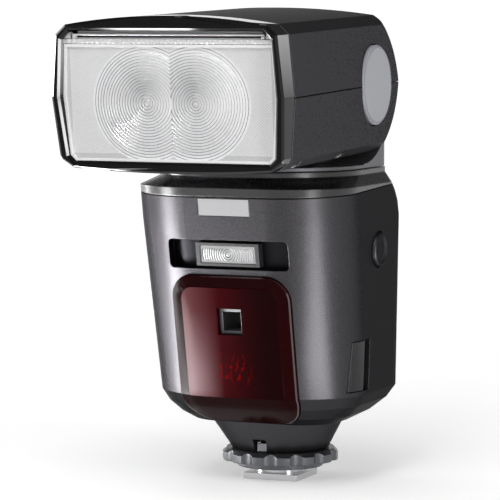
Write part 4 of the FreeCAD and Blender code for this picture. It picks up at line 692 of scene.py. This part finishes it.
gloss_black = finish("gloss_black", (0.002, 0.002, 0.002), 0.05, size=3.0, grain=0.0, soften=0.08, level=0.1)
gloss_edge = finish("gloss_edge", (0.004, 0.004, 0.004), 0.08, size=3.0, grain=0.0, soften=0.0, level=0.3)
# Painted reflection: a grey sheen is painted on the bezel's right side above the joint.
tree = gloss_black.node_tree
_, _, z = place_of(tree)
coords = tree.nodes.new("ShaderNodeTexCoord")
facing = tree.nodes.new("ShaderNodeSeparateXYZ")
tree.links.new(coords.outputs["Normal"], facing.inputs[0])
beside = maths(tree, "GREATER_THAN", facing.outputs[0], TO_THE_RIGHT)
above = maths(tree, "GREATER_THAN", z, SHEEN_FOOT)
climb = maths(tree, "DIVIDE", maths(tree, "SUBTRACT", z, SHEEN_FOOT), SHEEN_CLIMB)
climb = maths(tree, "ADD", maths(tree, "MULTIPLY", climb, 1 - SHEEN_START), SHEEN_START)
painted_sheen = maths(tree, "MULTIPLY", maths(tree, "MULTIPLY", beside, above), climb)
overlay(gloss_black, maths(tree, "MINIMUM", painted_sheen, 1), PAINTED_SHEEN_GREY)
dress(gloss_black, "front_bezel")
bezel = cad["front_bezel"]
bezel.data.materials.append(gloss_edge)
joined = bezel.modifiers.new("joined", "WELD")
joined.merge_threshold = SAME_EDGE * MM
chamfer = bezel.modifiers.new("chamfer", "BEVEL")
chamfer.width = CHAMFER * MM
chamfer.segments = 1
chamfer.material = len(bezel.data.materials) - 1
chamfer.limit_method = "ANGLE"
chamfer.angle_limit = math.radians(CHAMFER_OVER)


# ---------------------------------------------------------------- main lens
# Clear moulded lens with two sets of prism rings side by side, one for each half of the lamp,
# and a fine crossed texture round them. It sits on the ledge inside the bezel.

RING_MIDDLES = (-7.5, 8.0)
RING_MIDDLE_Z = 121.2
RING_PITCH, RING_RISER = 0.87, 0.22
RINGS = 20
PLAIN_RINGS = 16
GROOVE = 0.24
LOBE_RISE = 5         # painted shade of the lamp's dark recess behind the lens, this far above the rings' middles
LOBE_REACH, LOBE_DEPTH, LOBE_SHADE_GREY = 10.0, 0.75, (0.35, 0.35, 0.36)
PALE_X, PALE_Z = (24.0, -24.0), 132.0    # the lens is paler near its upper corners
PALE_REACH, PALE_DEPTH, PALE_GREY = 14.0, 0.35, (0.85, 0.85, 0.86)
CROSS_PITCH, CROSS_GAP, CROSS_DEPTH, CROSS_GREY = 0.9, 0.62, 0.3, (0.42, 0.42, 0.43)
RIM_BAND = 2.3        # the darker band behind the lens's raised rim
BAND_DEPTH, BAND_GREY = 0.5, (0.4, 0.4, 0.41)
RIM_WIDTH, RIM_HEIGHT = 0.9, 0.7
FORWARD = -0.9        # faces whose normal has a lower y look to the front
WINDOW_HALF = 32      # the rings end at this x
WINDOW_MARGIN_LOW, WINDOW_MARGIN_TOP = 0.4, 0.6


def distance(tree, side, other):
    """Length of the long side of a right-angled triangle."""
    squares = [maths(tree, "MULTIPLY", length, length) for length in (side, other)]
    return maths(tree, "SQRT", maths(tree, "ADD", *squares))


def patch(material, middles, z_middle, reach, strength, colour):
    """Lays a round patch of colour, which fades outwards, over a lens at each middle."""
    tree = material.node_tree
    x, _, z = place_of(tree)
    for middle in middles:
        away = distance(tree, maths(tree, "SUBTRACT", x, middle), maths(tree, "SUBTRACT", z, z_middle))
        fall = maths(tree, "MINIMUM", maths(tree, "DIVIDE", away, reach), 1)
        overlay(material, maths(tree, "MULTIPLY", maths(tree, "SUBTRACT", 1, fall), strength), colour)


lens_body = finish("lens_body", (0.82, 0.82, 0.83), 0.3, fleck=0.05, size=0.5, grain=0.01, soften=0.2,
                   level=0.4)
tree = lens_body.node_tree
x, _, z = place_of(tree)
for sign in (1, -1):
    along = maths(tree, "DIVIDE", maths(tree, "ADD", x, maths(tree, "MULTIPLY", z, sign)), CROSS_PITCH)
    line = maths(tree, "GREATER_THAN", maths(tree, "FRACT", along), CROSS_GAP)
    overlay(lens_body, maths(tree, "MULTIPLY", line, CROSS_DEPTH), CROSS_GREY)
dress(lens_body, "fresnel_lens")
ring_clear = finish("ring_clear", (0.9, 0.9, 0.91), 0.22, fleck=0.04, size=0.8, soften=0.0)
# painted shade: the main lens's ring risers are darker to shade its grooves
ring_groove_shade = finish("ring_groove_shade", (0.28, 0.28, 0.29), 0.35, fleck=0.08, size=0.8, grain=0.0, soften=0.0)
# Painted shade of the lamp's recess behind the lens, laid over the rings.
patch(ring_clear, RING_MIDDLES, RING_MIDDLE_Z + LOBE_RISE, LOBE_REACH, LOBE_DEPTH, LOBE_SHADE_GREY)
patch(lens_body, PALE_X, PALE_Z, PALE_REACH, PALE_DEPTH, PALE_GREY)
lens_seat = on_face("fresnel_lens", Vector((0, -1, 0)))
lens_low, lens_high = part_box("fresnel_lens")
beside = maths(tree, "GREATER_THAN", maths(tree, "ABSOLUTE", x), lens_high.x / MM - RIM_BAND)
below = maths(tree, "LESS_THAN", z, lens_low.z / MM + RIM_BAND)
overlay(lens_body, maths(tree, "MULTIPLY", maths(tree, "MAXIMUM", beside, below), BAND_DEPTH), BAND_GREY)
seat_z = lens_seat.translation.z
ring_rise = (RING_MIDDLE_Z * MM - seat_z) / MM
window = (-WINDOW_HALF, (lens_low.z - seat_z) / MM + WINDOW_MARGIN_LOW,
          WINDOW_HALF, (lens_high.z - seat_z) / MM - WINDOW_MARGIN_TOP)
rings = prism_rings("lens_rings", lens_seat, [(x, ring_rise) for x in RING_MIDDLES], RING_PITCH, RING_RISER,
                    RINGS, PLAIN_RINGS, GROOVE, window, (ring_clear, ring_groove_shade), "head")

plate = bmesh.new()
plate.from_mesh(cad["fresnel_lens"].data)
bmesh.ops.remove_doubles(plate, verts=plate.verts[:], dist=SAME_EDGE * MM)
bmesh.ops.delete(plate, geom=[face for face in plate.faces if face.normal.y > FORWARD], context="FACES")
rim = bmesh.ops.inset_region(plate, faces=plate.faces[:], thickness=RIM_WIDTH * MM, use_even_offset=True,
                             use_boundary=True)["faces"]
bmesh.ops.delete(plate, geom=[face for face in plate.faces if face not in rim], context="FACES")
for item in bmesh.ops.extrude_face_region(plate, geom=plate.faces[:])["geom"]:
    if isinstance(item, bmesh.types.BMVert):
        item.co.y -= RIM_HEIGHT * MM
rim_clear = finish("rim_clear", (0.95, 0.95, 0.95), 0.1, fleck=0.02, size=1.0, grain=0.002, soften=0.25,
                   level=1.0)
lens_rim = new_piece("lens_rim", plate, Matrix(), rim_clear)
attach(lens_rim, "head")


# ---------------------------------------------------------------- card and diffuser
# White bounce card over a clear ribbed diffuser, both pulled out of a slot above the lens. Each
# has a thicker lip at its front edge for the nails.

LIP_REACH = 1.9       # how far a lip stands out
LIP_BACK = 0.4        # it starts this far behind the panel's edge
NOSE_STEPS = 6
NOSE_CURVE = 0.3
RIB_DEPTH = 0.12
# left, right, bottom and top of each bar, the last two above the lens, and its number of ribs
CARD_BARS = [(-30.4, 30.4, 2.4, 3.05, 1), (-30.4, -29.6, 1.55, 2.3, 1), (29.6, 30.4, 1.55, 2.3, 1)]
WIDE_BARS = [(-33.4, 33.4, 0.05, 1.4, 160), (-33.4, -31.2, 1.5, 3.5, 1), (31.2, 33.4, 1.5, 3.5, 1)]


def lip(name, back, bars, material, body):
    """Bars with rounded, ribbed noses that stand out from a plane at y = back, in millimetres."""
    whole = bmesh.new()
    for left, right, bottom, top, ribs in bars:
        bottom, top = lens_high.z / MM + bottom, lens_high.z / MM + top
        nose = (top - bottom) / 2
        outline = [(back, bottom)]
        for step in range(NOSE_STEPS + 1):
            turn = math.radians(180 * step / NOSE_STEPS - 90)
            forward = back - LIP_REACH + NOSE_CURVE * (1 - math.cos(turn))
            outline.append((forward, (bottom + top) / 2 + nose * math.sin(turn)))
        outline.append((back, top))
        before = None
        for step in range(ribs + 1):
            along = left + (right - left) * step / ribs
            sunk = RIB_DEPTH if 0 < step % 4 < 3 else 0.0
            line = [whole.verts.new((along, y + sunk * (y < back), z)) for y, z in outline]
            if before:
                bridge(whole, before, line)
            else:
                whole.faces.new(line)
            before = line
        whole.faces.new(before)
    bmesh.ops.recalc_face_normals(whole, faces=whole.faces[:])
    piece = new_piece(name, whole, IN_MM, material)
    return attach(piece, body)


lip_white = finish("lip_white", (0.95, 0.95, 0.95), 0.25, fleck=0.02, size=1.0, grain=0.002)
lip_clear = finish("lip_clear", (0.8, 0.8, 0.81), 0.15, fleck=0.04, size=0.8)
card_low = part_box("bounce_card")[0] / MM
wide_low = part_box("diffuser_panel")[0] / MM
lip("card_lip", card_low.y + LIP_BACK, CARD_BARS, lip_white, "card")
lip("diffuser_lip", wide_low.y + LIP_BACK, WIDE_BARS, lip_clear, "diffuser")
dress(finish("card_white", (0.85, 0.85, 0.85), 0.4, fleck=0.02, size=1.0), "bounce_card")
dress(finish("diffuser_clear", (0.7, 0.7, 0.71), 0.2, fleck=0.06, grain=0.01), "diffuser_panel")
dress(finish("guide_grey", (0.5, 0.5, 0.51), 0.35, fleck=0.08, size=0.5), "panel_guide")


# ---------------------------------------------------------------- lamp and zoom drive
# Flash tube in a polished reflector on a nylon carriage. A small motor with a lead screw drives it
# along two steel rods, which a frame of sheet steel holds in the lower shell.

dress(silver, "head_reflector")
dress(tube_glass, "flash_tube")
dress(neck_grey, "zoom_carriage")
dress(steel, "zoom_frame", "guide_rods", "lead_screw", "zoom_motor", "trigger_coil")


# ---------------------------------------------------------------- tilt joint
# Steel axle through the drum, with a plate at each end and a nylon bush in each side of the head.
# The round grey button on the right side frees the tilt, and a blank cap closes the left side.

BUTTON_RIM = 1.0      # width of the button's darker edge
BUTTON_RIM_GREY = (0.3, 0.31, 0.34)

button_grey = finish("button_grey", (0.46, 0.47, 0.5), 0.5, fleck=0.05, size=0.4, soften=0.3)
dress(steel, "tilt_axle", "tilt_plates")
dress(neck_grey, "pivot_bushes")
dress(button_grey, "tilt_release_button")
button_low, button_high = (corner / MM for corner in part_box("tilt_release_button"))
button_middle = (button_low + button_high) / 2
tree = button_grey.node_tree
_, y, z = place_of(tree)
away_y, away_z = maths(tree, "SUBTRACT", y, button_middle.y), maths(tree, "SUBTRACT", z, button_middle.z)
away = distance(tree, away_y, away_z)
beyond = maths(tree, "GREATER_THAN", away, (button_high.z - button_low.z) / 2 - BUTTON_RIM)
overlay(button_grey, beyond, BUTTON_RIM_GREY)
dress(head_lacquer_painted_lighter, "pivot_cap")


# ---------------------------------------------------------------- floor, light and camera
# White floor that sweeps up on every side, five soft lamps and an even dim sky. Eight panels on
# the floor and one strip light nothing matt: they only give glossy surfaces something to mirror.

FLOOR_FLAT = 4.6      # radius of its flat part, metres
FLOOR_SWEEP = 1.5     # radius of the curve up at its edge
FLOOR_RINGS = (0.3, 1.0, 2.0, FLOOR_FLAT)
FLOOR_ROUGH = 0.9
FLOOR_STEPS = 96
SWEEP_STEPS, SWEEP_TURN = 8, 10     # steps of the curve and degrees that each turns up
FLOOR_DROP = 0.0001   # metres that the floor lies below the foot
FLOOR_WHITE = 0.8
FLOOR_NEAR = 0.4      # light that the floor gives off itself, close to the object
FLOOR_FAR = 0.95      # and far from it
FLOOR_FADE = 1500.0   # millimetres
SKY_LEVEL = 0.15
PANEL_HEIGHT = 0.003
# name, place and aim, width and height in metres, power in watts
LAMPS = [
    ("lamp_top", (0.1, -0.65, 1.15), (0, 0, 0.08), 0.7, 0.7, 6.5),
    ("lamp_key", (1.04, -0.5, 0.36), (0, 0, 0.08), 0.2, 0.7, 4.0),
    ("lamp_left", (-1.1, 0.1, 0.36), (0, 0, 0.08), 0.2, 0.7, 3.0),
    ("lamp_front", (0.1, -1.1, 0.9), (0, 0, 0.08), 0.4, 0.4, 4.2),
    ("lamp_back", (-0.4, 0.5, 1.1), (0, 0.1, 0), 0.6, 0.6, 1.0),
]
STRIP = ("strip_left", (-1.151, 0.256, 0.105), (0, -0.085, 0.12), 0.42, 0.2, 8.0)
# name, place on the floor, direction of its long side in degrees, width, length, power in watts
PANELS = [
    ("panel_left", (-0.144, -0.12), -55, 0.07, 0.2, 1.9),
    ("panel_side", (-0.19, -0.03), -90, 0.09, 0.2, 0.5),
    ("panel_right", (0.15, -0.11), 60, 0.06, 0.2, 0.42),
    ("panel_right_far", (0.6, -0.4), 64, 0.12, 0.24, 3.3),
    ("panel_left_far", (-0.404, 0.07), -113, 0.08, 0.26, 0.9),
    ("panel_edge_right", (0.222, -0.528), 22.6, 0.06, 0.3, 0.4),
    ("panel_edge_left", (-0.48, -0.27), -67, 0.06, 0.3, 1.8),
    ("panel_edge_rear", (-0.27, 0.47), -157, 0.06, 0.3, 1.8),
]
SENSOR_WIDTH, FOCAL_LENGTH = 36, 210.6
CAMERA = Vector((0.3554, -0.8541, 0.1492))
CAMERA_AIM = Vector((-0.00896, -0.00373, 0.07238))

sweep = bmesh.new()
profile = [(radius, 0.0) for radius in FLOOR_RINGS]
for step in range(1, SWEEP_STEPS + 1):
    turn = math.radians(step * SWEEP_TURN)
    profile.append((FLOOR_FLAT + FLOOR_SWEEP * math.sin(turn), FLOOR_SWEEP * (1 - math.cos(turn))))
before = None
for radius, height in profile:
    circle = circle_of(sweep, (0, 0), radius, height, FLOOR_STEPS)
    if before:
        bridge(sweep, circle, before)
    else:
        sweep.faces.new(circle)
    before = circle
white = bpy.data.materials.new("floor_white")
white.use_nodes = True
floor = new_piece("floor", sweep, Matrix(), white)
floor.location.z = cad_low.z - FLOOR_DROP
tree = white.node_tree
shader = tree.nodes["Principled BSDF"]
shader.inputs["Base Color"].default_value = (FLOOR_WHITE, FLOOR_WHITE, FLOOR_WHITE, 1)
shader.inputs["Roughness"].default_value = FLOOR_ROUGH
shader.inputs["Specular IOR Level"].default_value = 0.0
shader.inputs["Emission Color"].default_value = (1, 1, 1, 1)
path = tree.nodes.new("ShaderNodeLightPath")
seen = maths(tree, "MAXIMUM", path.outputs["Is Camera Ray"], path.outputs["Is Glossy Ray"])
seen = maths(tree, "MAXIMUM", seen, path.outputs["Is Transmission Ray"])
x, y, _ = place_of(tree)
far = maths(tree, "MINIMUM", maths(tree, "DIVIDE", distance(tree, x, y), FLOOR_FADE), 1.0)
lift = maths(tree, "ADD", maths(tree, "MULTIPLY", far, FLOOR_FAR - FLOOR_NEAR), FLOOR_NEAR)
tree.links.new(maths(tree, "MULTIPLY", seen, lift), shader.inputs["Emission Strength"])

world = bpy.data.worlds.new("studio")
bpy.context.scene.world = world
world.use_nodes = True
world.node_tree.nodes["Background"].inputs["Color"].default_value = (1, 1, 1, 1)
world.node_tree.nodes["Background"].inputs["Strength"].default_value = SKY_LEVEL


def set_lamp(name, place, turn, wide, tall, power, on_matt=True):
    """A soft rectangular lamp that the camera doesn't see; it can leave matt surfaces unlit."""
    lamp = bpy.data.lights.new(name, "AREA")
    lamp.shape = "RECTANGLE"
    lamp.size = wide
    lamp.size_y = tall
    lamp.energy = power
    holder = bpy.data.objects.new(name, lamp)
    holder.location = place
    holder.rotation_euler = turn
    holder.visible_camera = False
    holder.visible_diffuse = on_matt
    bpy.context.scene.collection.objects.link(holder)


def turned(place, aim):
    """Turn of a lamp that stands at a place and points at its aim."""
    return (Vector(place) - Vector(aim)).to_track_quat("Z", "Y").to_euler()


for name, place, aim, wide, tall, power in LAMPS:
    set_lamp(name, place, turned(place, aim), wide, tall, power)
for name, place, along, wide, tall, power in PANELS:
    turn = (math.pi, 0, math.radians(along))
    set_lamp(name, (*place, PANEL_HEIGHT), turn, wide, tall, power, on_matt=False)
name, place, aim, wide, tall, power = STRIP
set_lamp(name, place, turned(place, aim), wide, tall, power, on_matt=False)

camera = bpy.data.cameras.new("camera")
camera.sensor_width = SENSOR_WIDTH
camera.lens = FOCAL_LENGTH
view = bpy.data.objects.new("camera", camera)
view.location = CAMERA
view.rotation_euler = (CAMERA_AIM - CAMERA).to_track_quat("-Z", "Y").to_euler()
bpy.context.scene.collection.objects.link(view)
bpy.context.scene.camera = view
bpy.context.scene.view_settings.view_transform = "Standard"
